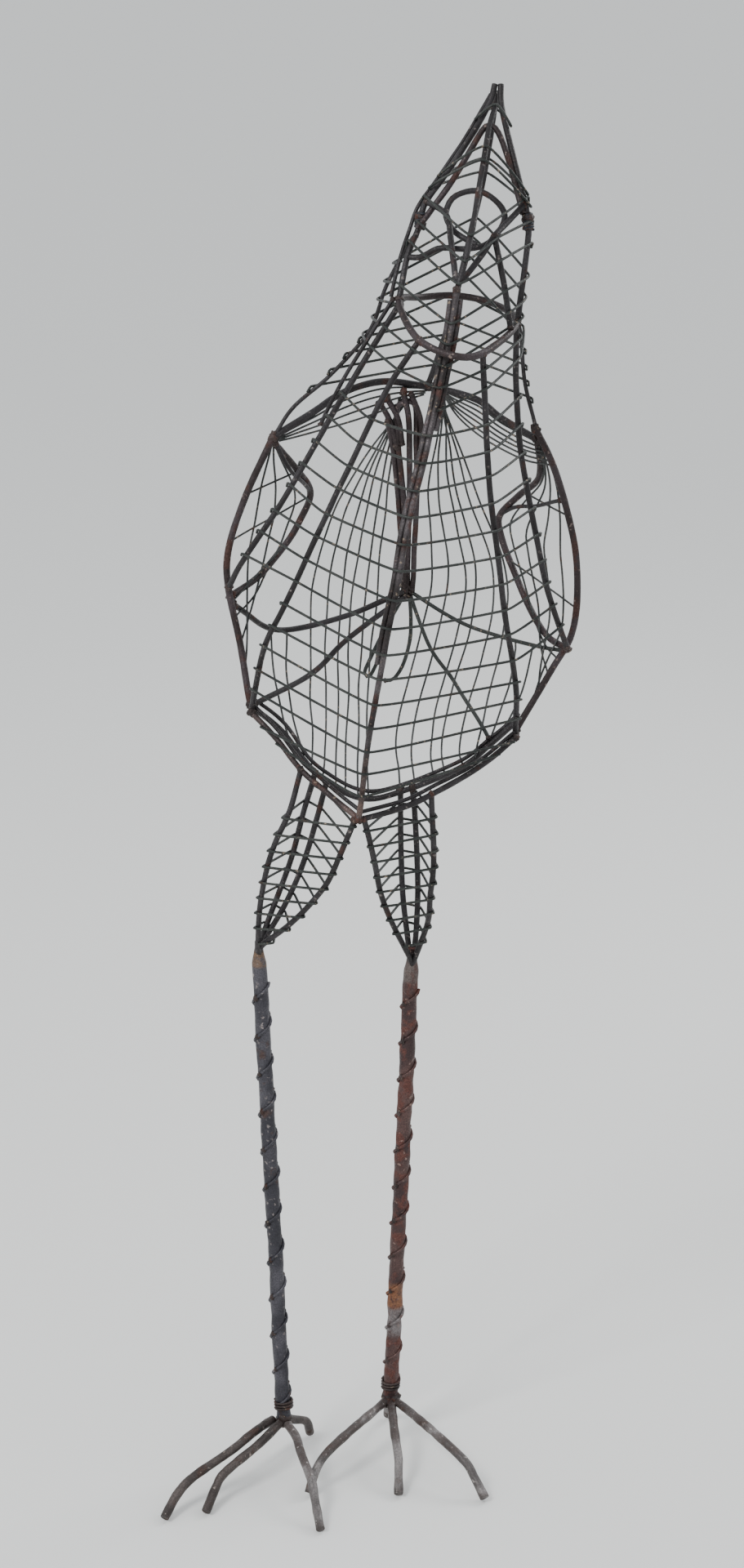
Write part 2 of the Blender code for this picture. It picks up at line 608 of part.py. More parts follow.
for old in list(bpy.data.objects):
    bpy.data.objects.remove(old, do_unlink=True)
PARTS = bpy.data.collections.new(COLLECTION_NAME)
bpy.context.scene.collection.children.link(PARTS)
BIRD = bpy.data.objects.new("bird", None)
PARTS.objects.link(BIRD)
PLACED = []

rods = make_breast()
make_back()
rods.update(make_head())
rods.update(bent_rods(NECK_ROUTES, ROD_RADIUS, DARK_IRON))
rods.update(bent_rods(THIGH_ROUTES, ROD_RADIUS, DARK_IRON, THIGH_STEP))
make_legs(rods)
for flank in ("left", "right"):
    wind_thigh(flank, rods)
wind_breast(rods)
wind_round("lower_neck_wire", rods, LOWER_NECK_HEIGHTS, LOWER_NECK_TURNS)
wind_round("upper_neck_wire", rods, UPPER_NECK_HEIGHTS, UPPER_NECK_TURNS)
wind_round("beak_wire", rods, BEAK_HEIGHTS, BEAK_TURNS)
wind_back()
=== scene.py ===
"""The finished look of the wire bird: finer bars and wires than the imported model's, rust, and a plain stage.

Lengths are in millimetres, as in the part, and become metres where a curve is made. X runs to the
right of someone who faces the bird, Y runs away from them and Z is up.
"""

import math
import random

import bmesh
import bpy
import numpy as np
from mathutils import Matrix, Vector, noise


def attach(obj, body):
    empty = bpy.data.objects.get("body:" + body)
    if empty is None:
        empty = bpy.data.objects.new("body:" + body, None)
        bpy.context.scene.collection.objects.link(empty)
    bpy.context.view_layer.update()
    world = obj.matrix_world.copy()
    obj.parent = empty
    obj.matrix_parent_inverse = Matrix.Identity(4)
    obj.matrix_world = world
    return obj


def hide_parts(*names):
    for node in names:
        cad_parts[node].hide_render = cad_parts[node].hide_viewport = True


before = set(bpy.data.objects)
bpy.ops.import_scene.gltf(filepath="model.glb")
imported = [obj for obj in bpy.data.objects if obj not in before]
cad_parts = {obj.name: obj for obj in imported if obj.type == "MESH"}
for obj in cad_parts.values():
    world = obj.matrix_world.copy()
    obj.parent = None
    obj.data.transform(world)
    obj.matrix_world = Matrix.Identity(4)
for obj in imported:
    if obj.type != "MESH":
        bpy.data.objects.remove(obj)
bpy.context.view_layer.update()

MM = 0.001
MIDDLE = (-3.04, 2.46)

# Seed of the random draws and of the waves, so that each run gives the same bird
SEED = 7

# Thickness of the bars, as radii
LEG_RADIUS = 6.0
TOE_RADIUS = 3.6
THICK_RADIUS = 2.7
ROD_RADIUS = 2.3
STAY_RADIUS = 1.6
WIRE_RADIUS = 1.0
FINE_WIRE_RADIUS = 0.8

# How a wire is fitted over rods
TOUCH = 0.05
TIGHTENING_ROUNDS = 6
LEAST_CROSSING = 0.15
LEAST_FACING = 0.85
LEAST_RISE = 1e-6

# Which way a wire lies off a rod: how far aside for each step ahead, at a rod and at a rim, and how far back
# for each step aside where it ends in a hook
ROD_LEAN = 0.7
RIM_LEAN = 0.5
HOOK_LEAN = 0.9

# How a wire bends at a rod: a share of the stretch beside it, up to a length that says how tight the wire is
WIRE_SPRING = 0.5
ROW_BEND = 28.0
NECK_BEND = 12.0
WRAP_BEND = 22.0
THIGH_BEND = 4.0

# Distance between the points of a bar, how finely its bends are rounded, and the points in a turn of wire
BAR_STEP = 4.0
WIRE_STEP = 2.0
LEG_STEP = 2.5
BEND_FINENESS = 16
WIRE_BEND_FINENESS = 12
TURN_POINTS = 12

# The waves left by bending a bar by hand, which fade over a few points at its ends. A name gives one of a
# number of seeds. The thickness of a bar swells and shrinks over a length of its own
WAVE_LENGTH = 38.0
WAVE_FADE_POINTS = 3
ROD_WAVE = 0.7
BACK_WAVE = 1.6
SECOND_ROD_WAVE = 1.6
SEED_COUNT = 97
BAR_SWELL = 0.06
SWELL_LENGTH = 9.0

# The camera of the photograph. Only how far it sees is in metres
CAMERA_AT = (0.0, -2400.0, 1297.0)
CAMERA_PITCH = 17.0
LENS = 50.0
SENSOR = 24.0
CLIP_END = 100

# The stage and its light, in metres and watts. A light is its place, size and power
FLOOR_REACH = 45.0
FLOOR_COLOUR = (0.80, 0.80, 0.78, 1)
FLOOR_ROUGHNESS = 0.9
SKY_COLOUR = (0.94, 0.97, 1.0, 1)
SKY_STRENGTH = 1.05
LIGHTS = {
    "key": ((-1.5, -1.8, 2.6), 0.9, 60.0),
    "rim": ((1.6, 1.4, 1.8), 0.8, 22.0),
}
LIGHTS_AIM = (0, 0, 0.6)

# Head and beak
HEAD_ROUTES = {
    "left_head_rod": [(91, 67, 1085), (87, 60, 1072), (72, 42, 1048), (51, 25, 1020), (39, 18, 1003),
                      (35, 15, 987), (26, 5, 966), (20, -4, 937)],
    "right_head_rod": [(95.5, 67, 1085), (95.5, 60, 1070), (101, 42, 1048), (107, 28, 1023), (113, 19, 1001),
                       (115, 15, 986), (114, 10, 974), (111, 0, 949), (107, -7, 921)],
    "beak_centre_rod": [(92, 56, 1071), (85, 33, 1052), (77, -8, 1012), (69, -42, 978), (61, -53, 950)],
    "jaw_rod": [(40, 18, 1005), (54, 4, 997), (57, -16, 982), (59, -32, 968), (63, -43, 955), (79, -29, 971),
                (89, -14, 984), (98, 0, 991), (112, 18, 1003)],
    "nape_rod": [(94, 73, 1079), (91, 77, 1066), (84, 75, 1017), (72, 65, 967), (57, 58, 906), (43, 72, 860)],
}
FACE_LOOP = [(28, 4, 966), (36, -1, 967), (49, -7, 974), (68, -13, 974), (85, -8, 978), (97, 8, 993),
             (92, 18, 1004), (77, 24, 1012), (60, 20, 1008), (54, 12, 996), (59, 2, 986), (66, -4, 981),
             (76, -10, 977)]
BROW_ROD = [(33, 12, 986), (44, 16, 1000), (57, 22, 1017), (74, 34, 1043), (85, 40, 1058), (93, 38, 1053),
            (100, 32, 1035), (106, 24, 1014), (111, 15, 996)]
SECOND_HEAD_ROD = [(88, 64, 1078), (68, 45, 1046), (47, 29, 1019), (34, 21, 1001), (28, 18, 985),
                   (20, 8, 962), (14, -2, 938)]

# Eyes: a coil round each head rod, with a knot of weld above and below its middle
EYE_HEIGHTS = {"left_head_rod": 991, "right_head_rod": 990}
EYE_TURNS = 5
EYE_PITCH = 2.3
EYE_KNOT = 3.9
EYE_KNOT_SHIFT = (0, 0, 3.0)

# Neck
NECK_ROUTES = {
    "right_throat_rod": [(89, -15, 983), (93, -22, 964), (97, -25, 944), (101, -24, 919)],
    "left_nape_wire": [(33, 15, 981), (30, 30, 977), (23, 42, 964), (10, 42, 938), (-2, 42, 905),
                       (-32, 40, 872), (-60, 36, 848), (-74, 29, 828)],
    "right_nape_wire": [(105, 18, 922), (111, 32, 905), (115, 31, 868), (124, 30, 832)],
}
NECK_RING = [(20, -5, 935), (33, -52, 915), (58, -70, 906), (80, -59, 906), (106, -8, 919),
             (92, 40, 926), (64, 50, 931), (36, 38, 932)]

# Breast: the keel rod with a rod on each side of it, then the rods further round
KEEL = [(61, -53, 951), (53, -60, 902), (41, -80, 848), (28, -104, 796), (17, -115, 741),
        (9, -110, 696), (-2, -92, 629), (-10, -62, 555)]
KEEL_APART = 4.7
KEEL_BUNDLE_ANGLE = 43.0
KEEL_COVER = 0.8
LEFT_KEEL_FOOT = 686
RIGHT_KEEL_FOOT = 850
KEEL_SIDES_TOP = 946
BREAST_ROUTES = {
    "left_breast_rod": [(34, -53, 914), (14, -50, 883), (-8, -47, 838), (-34, -47, 783), (-65, -38, 713),
                        (-81, -25, 678), (-92, 5, 622)],
    "left_side_rod": [(20, -7, 933), (-9, -8, 886), (-37, 0, 837), (-66, 0, 786), (-95, 5, 741),
                      (-109, 24, 713)],
    "right_breast_rod": [(80, -58, 905), (82, -50, 874), (85, -50, 815), (92, -47, 761), (101, -33, 693),
                         (109, -12, 645), (110, 6, 602)],
    "right_side_rod": [(106, -9, 918), (106, -8, 873), (111, -8, 820), (121, -10, 769), (132, -6, 719),
                       (149, 18, 667)],
}
SECOND_SIDE_ROD = [(15, -4, 936), (-16, -5, 886), (-30, 2, 860), (-38, 6, 842)]

# Shoulders, wings and back
SHOULDER_ROUTES = {
    "left_shoulder_rod": [(-74, 29, 828), (-45, 47, 843), (-20, 62, 856), (10, 74, 862), (44, 79, 857)],
    "right_shoulder_rod": [(47, 79, 857), (80, 70, 849), (98, 58, 837), (123, 32, 826)],
}
WING_ROUTES = {
    "left_wing_edge": [(-75, 27, 827), (-96, 30, 781), (-109, 32, 742), (-110, 30, 711), (-101, 24, 668),
                       (-93, 11, 623)],
    "left_wing_rod": [(-74, 31, 823), (-57, 60, 796), (-48, 84, 773), (-57, 92, 748), (-68, 86, 731),
                      (-87, 62, 713), (-108, 33, 704)],
    "right_wing_edge": [(123, 30, 834), (138, 28, 803), (152, 30, 755), (157, 30, 714), (153, 26, 676),
                        (138, 22, 648), (111, 11, 604)],
    "right_wing_rod": [(125, 32, 824), (128, 62, 790), (114, 84, 771), (100, 99, 752), (101, 101, 736),
                       (108, 97, 715), (121, 80, 687), (135, 52, 668), (150, 27, 663)],
}
WING_BRACES = {
    "left_wing_brace": [(-72, 30, 822), (-62, 40, 800), (-52, 66, 784), (-47, 84, 774)],
    "right_wing_brace": [(100, 99, 753), (112, 84, 762), (127, 60, 768), (143, 34, 778)],
}
SPINE_LOOP = [(26, 127, 686), (25, 104, 757), (20, 86, 812), (19, 77, 840), (25, 75, 846), (33, 78, 843),
              (34, 86, 815), (35, 102, 765), (32, 127, 686)]
SPINE_BRACES = [
    [(6, 74, 845), (13, 79, 832), (19, 87, 810)],
    [(11, 73, 850), (20, 78, 832), (23, 86, 812)],
    [(30, 73, 852), (37, 79, 832), (38, 88, 806)],
    [(24, 72, 854), (28, 77, 834), (29, 88, 806), (29, 104, 757), (28, 127, 688)],
    [(12, 78, 830), (16, 89, 808), (21, 106, 757), (25, 127, 690)],
]
TAIL_STAYS = {
    "left_tail_stay": [(27, 127, 685), (-15, 112, 670), (-51, 94, 664), (-79, 72, 668), (-105, 34, 696)],
    "right_tail_stay": [(31, 127, 684), (68, 104, 666), (100, 82, 659), (130, 50, 659), (146, 27, 662)],
    "left_hip_stay": [(27, 127, 681), (-20, 100, 652), (-48, 70, 632), (-90, 18, 622)],
    "right_hip_stay": [(31, 127, 680), (46, 98, 646), (66, 66, 624), (90, 22, 594)],
}
TAIL_LOOPS = {
    "left_tail_loop": [(26, 130, 682), (8, 142, 645), (-4, 150, 618), (-6, 152, 610), (-2, 152, 608),
                       (4, 149, 620)],
    "right_tail_loop": [(30, 130, 681), (31, 140, 655), (30, 146, 638), (25, 150, 618), (18, 152, 606),
                        (11, 153, 604)],
}

# Lower edge of the body, and a second bar that lies along it
RIM_ROUTES = {
    "left_hip_rim": [(-92, 4, 619), (-72, -10, 601), (-53, -27, 582), (-34, -42, 569), (-11, -60, 555)],
    "right_hip_rim": [(110, 2, 600), (84, -14, 583), (59, -32, 572), (27, -49, 561), (-9, -61, 554)],
    "rear_rim": [(-94, 22, 620), (-70, 20, 600), (-42, 10, 568), (-7, 2, 551), (28, 4, 558), (69, 12, 573),
                 (92, 20, 590), (112, 20, 608)],
}
RIM_SHIFT = (1.5, 3.5, 5.0)

# Thighs: two bent rods each, in front of and behind the top of the leg
THIGH_ROUTES = {
    "left_thigh_front": [(-54, -27, 582), (-62, -34, 553), (-74, -31, 526), (-82, -24, 497), (-87, -15, 465),
                         (-89, -5, 432), (-88, -2, 424), (-86, -4, 433), (-64, -20, 456), (-41, -37, 486),
                         (-29, -48, 509), (-13, -59, 553)],
    "left_thigh_rear": [(-44, 11, 569), (-51, 20, 542), (-62, 20, 500), (-73, 15, 470), (-87, 4, 434),
                        (-87, 2, 426), (-85, 4, 434), (-68, 10, 462), (-50, 14, 505), (-35, 8, 563)],
    "right_thigh_front": [(-6, -61, 554), (2, -50, 516), (6, -40, 492), (12, -29, 469), (18, -19, 451),
                          (29, -5, 424), (31, -2, 416), (34, -4, 424), (43, -17, 457), (45, -28, 483),
                          (47, -35, 512), (45, -40, 567)],
    "right_thigh_rear": [(22, 4, 557), (22, 19, 520), (23, 22, 490), (25, 17, 460), (29, 6, 425),
                         (31, 3, 417), (33, 6, 425), (36, 17, 462), (35, 22, 494), (33, 16, 536),
                         (31, 4, 559)],
}
THIGH_TURNS = 9
THIGH_HEIGHTS = (437.0, 556.0)

# Legs, as (x, y, z) at the knee and at the ankle. From a little below the knee to a little above it a leg
# narrows to a neck, which rises further
LEGS = {
    "left_leg": [(-88, 0, 421), (-71, -29, 38)],
    "right_leg": [(31, 1, 415), (15, 6, 38)],
}
LEG_SEEDS = {"left_leg": 3.0, "right_leg": 8.0}
LEG_WAVE = 0.8
KNEE_RISE = 14.0
KNEE_TAPER = (-4.0, 9.0)
KNEE_SHARE = 0.58
LEG_SWELL = 0.13
LEG_KNOB_LENGTH = 13.0

# Wire round each leg, which sinks a little into it, its beads of weld, and the collar and weld at the ankle.
# The first and the last bead are counted in points of the wire from its ends
LEG_WIRE_RADIUS = 1.15
LEG_WIRE_STAND_OFF = 0.7
LEG_WIRE_WAVE = 0.9
LEG_WIRE_PITCH = 31.0
LEG_WIRE_AROUND = 14
LEG_WIRE_ENDS = (20.0, 14.0)
LEG_BEAD = 1.9
FIRST_BEAD = 5
LAST_BEAD = 3
COLLAR_RISE = 9.0
COLLAR_PITCH = 2.4
COLLAR_TURNS = 3
ANKLE_WELD = 7.0
ANKLE_WELD_DROP = 1.5

# Toes. An end given by two numbers is a tip that lies on the ground. The left foot's first toe and its back
# toe are one bar in the imported model and two here, so that the back toe can take the dark brown iron as
# painted shade
TOE_TIP_HEIGHT = 3.7
TOE_WAVE = 0.5
TOE_SWELL = 0.14
TOES = {
    "left_foot_inner_toe": [(-40, -146), (-45, -120, 15), (-48, -106, 24), (-57, -74, 32), (-61, -54, 34),
                            (-68, -34, 34), (-70, -24, 34), (-64, -14, 28), (-54, 0, 19), (-51, 10)],
    "left_foot_outer_toe": [(-80, -29, 36), (-97, -55, 36), (-111, -74, 33), (-140, -100, 24),
                            (-153, -113, 15), (-162, -129)],
    "left_foot_middle_toe": [(-74, -34, 35), (-90, -62, 32), (-116, -92, 23), (-123, -101, 15),
                             (-130, -119)],
    "right_foot_middle_toe": [(21, -91), (21, -74, 15), (21, -64, 21), (18, -36, 33), (16, -4, 34),
                              (15, 8, 34), (15, 20, 28), (14, 32, 17), (13, 40)],
    "right_foot_outer_toe": [(17, 6, 36), (34, -22, 36), (53, -50, 33), (74, -77, 24), (81, -86, 15),
                             (89, -98)],
    "right_foot_inner_toe": [(13, 6, 36), (-8, -32, 36), (-35, -70, 29), (-45, -82, 18), (-50, -90)],
}
LEFT_BACK_TOE_START = (-70, -24, 34)
BROWN_TOES = ("left_foot_outer_toe", "left_foot_middle_toe")

# Wire over the breast: heights on each rod of the marked rows, and the last rows that reach the side rods.
# The last rows of all end on the hip rims
BREAST_ROWS = 15
MARKED_ROWS = (0, 5, 10, 14)
BREAST_HEIGHTS = {
    "left_side_rod": (867, 778, 690, 610),
    "left_breast_rod": (857, 769, 680, 604),
    "keel_rod": (848, 757, 657, 578),
    "right_breast_rod": (854, 754, 648, 588),
    "right_side_rod": (866, 762, 668, 590),
}
LAST_SIDE_ROWS = {"left_side_rod": 7, "right_side_rod": 9}
RIM_ROWS = 2
RIM_ROW_ENDS = {"left_hip_rim": (611, 600), "right_hip_rim": (598, 590)}
ROW_JITTER = 1.2
ROW_HOOK_DROP = 3.0

# Wire round the neck: rods that follow one another and count as one line, and the heights of the wire's
# first and last turns on each line or rod
NECK_LINES = {
    "throat_line": ("keel_rod", "beak_centre_rod"),
    "left_line": ("left_side_rod", "left_head_rod"),
    "right_line": ("right_side_rod", "right_head_rod"),
}
NECK_TURNS = 5
NECK_HEIGHTS = {"throat_line": (866, 940), "right_breast_rod": (878, 954), "right_throat_rod": (881, 957),
                "right_line": (890, 962), "right_nape_wire": (903, 985), "nape_rod": (924, 992),
                "left_nape_wire": (894, 958), "left_line": (890, 964), "left_breast_rod": (879, 954)}

# Separate wires across the throat, above the wound wire: height at the front, and the rise to other rods
THROAT_ROWS = (954, 969, 985)
THROAT_RISES = {"left_line": 22, "throat_line": 0, "right_throat_rod": 13, "right_line": 22}

# Separate wires across the nape, below the wound wire
NAPE_ROWS = (874, 887, 899, 911)
NAPE_RISES = {"left_nape_wire": -12, "nape_rod": 0, "right_nape_wire": -18}

# Wraps round the beak: heights at its centre, on the right, at the nape and on the left
BEAK_RODS = ("beak_centre_rod", "right_head_rod", "nape_rod", "left_head_rod")
BEAK_WRAPS = [(1069, 1055, 1066, 1059), (1042, 1008, 1030, 1020), (1033, 1000, 1020, 1012)]

# Back of the body: its width, the middle and the edge of its surface, by height
WIDEST_HEIGHT = 715.0
TOP_HEIGHT = 861.0
BOTTOM_HEIGHT = 553.0
HALF_WIDTH = 133.0
TOP_FULLNESS = 2.2
BOTTOM_FULLNESS = 1.7
BODY_MIDDLE = [(553, -9), (600, 14), (660, 25), (861, 22)]
SPINE_ACROSS = [(553, -8), (597, 4), (682, 22), (771, 32), (861, 40)]
SPINE_DEPTH = [(553, -30), (590, 80), (640, 121), (700, 131), (790, 108), (861, 84)]
EDGE_DEPTH = [(553, -50), (580, -20), (610, 10), (660, 26), (740, 34), (827, 34), (843, 50), (861, 78)]

# Wires that fan out down the back: where they start, how far out each goes as a share of the outermost, and,
# at three heights, where the innermost and the outermost would pass. Each ends on the rear rim
BACK_FANS = {
    "left": ((28, 78, 848), (1.0, 0.8, 0.62, 0.48, 0.3, 0.17),
             ((772, 19, -21), (687, 14, -47), (592, 5, -47))),
    "right": ((50, 79, 856), (1.0, 0.85, 0.65, 0.53, 0.33, 0.15),
              ((772, 38, 80), (687, 36, 107), (592, 10, 81))),
}
FAN_STARTS_APART = 1.5
FAN_TOP_RISE = 6.0

# Wires that run from a tail stay down to the rear rim, by their place across. They bow out and back
OUTER_BACK_LINES = {"left": (-78, -66), "right": (112, 124)}
OUTER_FOOT_SHARE = 0.8
OUTER_BOW = (5, 6)

# Thin wires at the shoulders and inside the wings. Lines lie at shares of the way from one rod to another
LINE_POINTS = 50
SHOULDER_LEAF = [(40, 79, 851), (25, 79, 846), (6, 73, 839), (-27, 56, 831), (-52, 42, 827), (-70, 32, 824)]
SHOULDER_LEAF_LINES = 3
LOWEST_SHOULDER_ARC = [(52, 79, 856), (64, 79, 836), (80, 74, 822), (98, 64, 812), (118, 46, 806),
                       (136, 29, 806)]
SHOULDER_ARC_LINES = 6
WING_LINES = {"left": (0.3, 0.55, 0.8), "right": (0.2, 0.42, 0.64, 0.85)}
WING_CROSS_WIRES = {"left": (0.22, 0.4, 0.62), "right": (0.3, 0.58)}

# Welds at the joints: how much wider than the bar, how lumpy in large and in small, and how far stretched
WELD_SWELL = 1.22
WELD_ROUGHNESS = 0.42
WELD_LUMPS = 1.7
WELD_GRAIN = 4
WELD_GRAIN_SHARE = 0.4
WELD_WIDTHS = (0.85, 1.2)
WELD_TALLNESS = (0.9, 1.35)
WELD_FINENESS = 3
BEAK_BARE_HEIGHT = 1040.0
LOOSE_ENDED = ("face_loop", "brow_rod", "second_head_rod")

# Clouds in the iron: scale, detail, the two levels between which each sets in, and a seed. Rust sets in at a
# level that is lower for iron with a larger share of rust
PATCH_CLOUD = (34.0, 3.0, 0.40, 0.62, 1.3)
RUST_CLOUD_SCALE = 85.0
RUST_CLOUD_DETAIL = 5.0
RUST_CLOUD_SEED = 4.1
RUST_LEVEL = 0.68
RUST_LEVEL_DROP = 0.36
RUST_EDGE = 0.13
BAND_CLOUD = (150.0, 4.0, 0.30, 0.52, 7.0)
BAND_EDGE = (1.25, 0.75)
# The pale spots are partly wear and partly a painted highlight
BRIGHT_CLOUD = (260.0, 4.0, 0.60, 0.72, 9.7)
PIT_CLOUD = (900.0, 3.0, 0.35, 0.65, 2.2)
PIT_STRENGTH = 0.45
PIT_DARKNESS = 0.35

# Gloss and relief of the iron
METALLIC = 0.35
SPECULAR = 0.45
ROUGHNESS = 0.42
RUST_ROUGHNESS = 0.26
PIT_ROUGHNESS = 0.14
PIT_RELIEF = 0.5
RUST_RELIEF = 0.8
BUMP_STRENGTH = 0.55
BUMP_HEIGHT = 0.5


# Lines and wires in space

def eased(start, end, leave, arrive, count):
    """Points from a start to just before an end, on a curve that leaves and arrives in given directions."""
    points = []
    for t in np.linspace(0, 1, count, endpoint=False):
        points.append((2 * t**3 - 3 * t**2 + 1) * start + (t**3 - 2 * t**2 + t) * leave
                      + (3 * t**2 - 2 * t**3) * end + (t**3 - t**2) * arrive)
    return points


def smooth(bends, closed=False):
    """A dense curve through the bends, which rounds them as a bent rod does."""
    points = [np.array(bend, float) for bend in bends]
    count = len(points)
    if closed:
        before = [points[-1]] + points[:-1]
        starts = range(count)
        following = points[1:] + [points[0]]
    else:
        before = [2 * points[0] - points[1]] + points[:-1]
        starts = range(count - 1)
        following = points[1:] + [2 * points[-1] - points[-2]]
    dense = []
    for i in starts:
        start, end = points[i], following[i]
        after = following[(i + 1) % count]
        dense += eased(start, end, (end - before[i]) / 2, (after - start) / 2, BEND_FINENESS)
    if not closed:
        dense.append(points[-1])
    return np.array(dense)


def spaced(dense, step, closed=False):
    """The points that lie at equal distances, about one step, along a dense curve."""
    if closed:
        dense = np.vstack([dense, dense[:1]])
    run = np.concatenate([[0], np.cumsum(np.linalg.norm(np.diff(dense, axis=0), axis=1))])
    count = max(2, round(run[-1] / step)) + 1
    marks = np.linspace(0, run[-1], count)
    points = np.column_stack([np.interp(marks, run, dense[:, axis]) for axis in range(3)])
    return points[:-1] if closed else points


def unit(vector):
    """A vector made one long."""
    return vector / np.linalg.norm(vector)


def waved(points, amount, seed):
    """The points moved a little to and fro, more in their middle than at their two ends."""
    points = np.array(points, float)
    last = len(points) - 1
    moved = []
    for i, point in enumerate(points):
        hold = min(1.0, min(i, last - i) / WAVE_FADE_POINTS)
        place = Vector(point / WAVE_LENGTH) + Vector((seed, 2.0 * seed, 0))
        moved.append(point + hold * amount * np.array(noise.noise_vector(place)))
    return np.array(moved)


def at_height(points, height):
    """The point of a bar at a height, and the direction in which the bar runs there."""
    for start, end in zip(points[:-1], points[1:]):
        if min(start[2], end[2]) <= height <= max(start[2], end[2]):
            share = (height - start[2]) / max(end[2] - start[2], LEAST_RISE, key=abs)
            return start + (end - start) * share, unit(end - start)
    end = 0 if abs(points[0][2] - height) < abs(points[-1][2] - height) else -1
    return points[end], unit(points[0] - points[1] if end == 0 else points[-1] - points[-2])


def passes(points, height):
    """Whether a bar comes past a height."""
    return points[:, 2].min() <= height <= points[:, 2].max()


def neighbours(i, count, closed):
    """The places before and after one in a row of places, which a closed row joins at its ends."""
    if closed:
        return [(i - 1) % count, (i + 1) % count]
    return [j for j in (i - 1, i + 1) if 0 <= j < count]


def over_rods(crossings, bend, closed=False):
    """A wire pulled tight over rods. A crossing is (point, run of the rod, outward, radius, turning)."""
    path = [point + unit(outward) * radius for point, _, outward, radius, _ in crossings]
    count = len(path)
    for _ in range(TIGHTENING_ROUNDS):
        tighter = []
        for i, (point, rod_run, outward, radius, turning) in enumerate(crossings):
            stretches = [unit(path[j] - path[i]) for j in neighbours(i, count, closed)]
            away = unit(outward - np.dot(outward, rod_run) * rod_run)
            if not turning:
                along = stretches[-1] - stretches[0] if len(stretches) > 1 else stretches[0]
                across = unit(np.cross(rod_run, along))
                away = across if np.dot(across, away) > 0 else -across
            stand_off = 1.0
            for stretch in stretches:
                normal = np.cross(rod_run, stretch)
                if np.linalg.norm(normal) > LEAST_CROSSING:
                    facing = abs(np.dot(away, unit(normal)))
                    stand_off = max(stand_off, 1 / max(facing, LEAST_FACING))
            tighter.append(point + away * (radius + WIRE_RADIUS + TOUCH) * stand_off)
        path = tighter
    return sprung(path, bend, closed)


def sprung(path, bend, closed=False):
    """A curve through the crossings of a wire, bent round each and nearly straight between them."""
    path = np.array(path)
    if closed:
        path = np.vstack([path[-1:], path, path[:2]])
    ahead = np.vstack([path[1:], path[-1:]])
    behind = np.vstack([path[:1], path[:-1]])
    runs = [unit(run) for run in ahead - behind]
    if closed:
        path, runs = path[1:-1], runs[1:-1]
    dense = []
    for i in range(len(path) - 1):
        start, end = path[i], path[i + 1]
        pull = min(WIRE_SPRING * np.linalg.norm(end - start), bend)
        dense += eased(start, end, pull * runs[i], pull * runs[i + 1], WIRE_BEND_FINENESS)
    dense.append(path[-1])
    return spaced(np.array(dense), WIRE_STEP)


def wound(start, along, reach, pitch, turns, around=TURN_POINTS):
    """Points of a wire wound round a straight bar."""
    across = unit(np.cross(along, (0, 1, 0)))
    ahead = np.cross(along, across)
    points = []
    for i in range(int(turns * around) + 1):
        angle = 2 * math.pi * i / around
        outward = math.cos(angle) * across + math.sin(angle) * ahead
        points.append(start + along * pitch * i / around + reach * outward)
    return points


def beside_rods(first, second, share):
    """A line part of the way from one rod to another, from end to end."""
    reach = np.linspace(0, 1, LINE_POINTS)
    lines = []
    for rod in (first, second):
        run = np.linspace(0, 1, len(rod))
        lines.append(np.column_stack([np.interp(reach, run, rod[:, axis]) for axis in range(3)]))
    return lines[0] * (1 - share) + lines[1] * share


# The surface of the back

def at(table, height):
    """The value of a named profile at a height."""
    return float(np.interp(height, [row[0] for row in table], [row[1] for row in table]))


def back_surface(share, height):
    """A point on the back of the body: share is 0 on the spine and 1 or -1 at the edges."""
    if height > WIDEST_HEIGHT:
        reach = (height - WIDEST_HEIGHT) / (TOP_HEIGHT - WIDEST_HEIGHT)
        fullness = TOP_FULLNESS
    else:
        reach = (WIDEST_HEIGHT - height) / (WIDEST_HEIGHT - BOTTOM_HEIGHT)
        fullness = BOTTOM_FULLNESS
    half = HALF_WIDTH * max(0.0, 1 - reach**fullness) ** (1 / fullness)
    spine = at(SPINE_ACROSS, height)
    edge = at(BODY_MIDDLE, height) + math.copysign(half, share)
    depth = at(EDGE_DEPTH, height)
    bulge = (at(SPINE_DEPTH, height) - depth) * math.sqrt(max(0.0, 1 - share**2))
    return np.array([spine + (edge - spine) * abs(share), depth + bulge, height])


def on_back(across, height):
    """The point of the back's surface at a place across and a height."""
    spine = at(SPINE_ACROSS, height)
    way = 1 if across >= spine else -1
    edge = back_surface(way, height)[0]
    share = min(1.0, abs((across - spine) / (edge - spine)))
    return back_surface(way * share, height)


# Iron

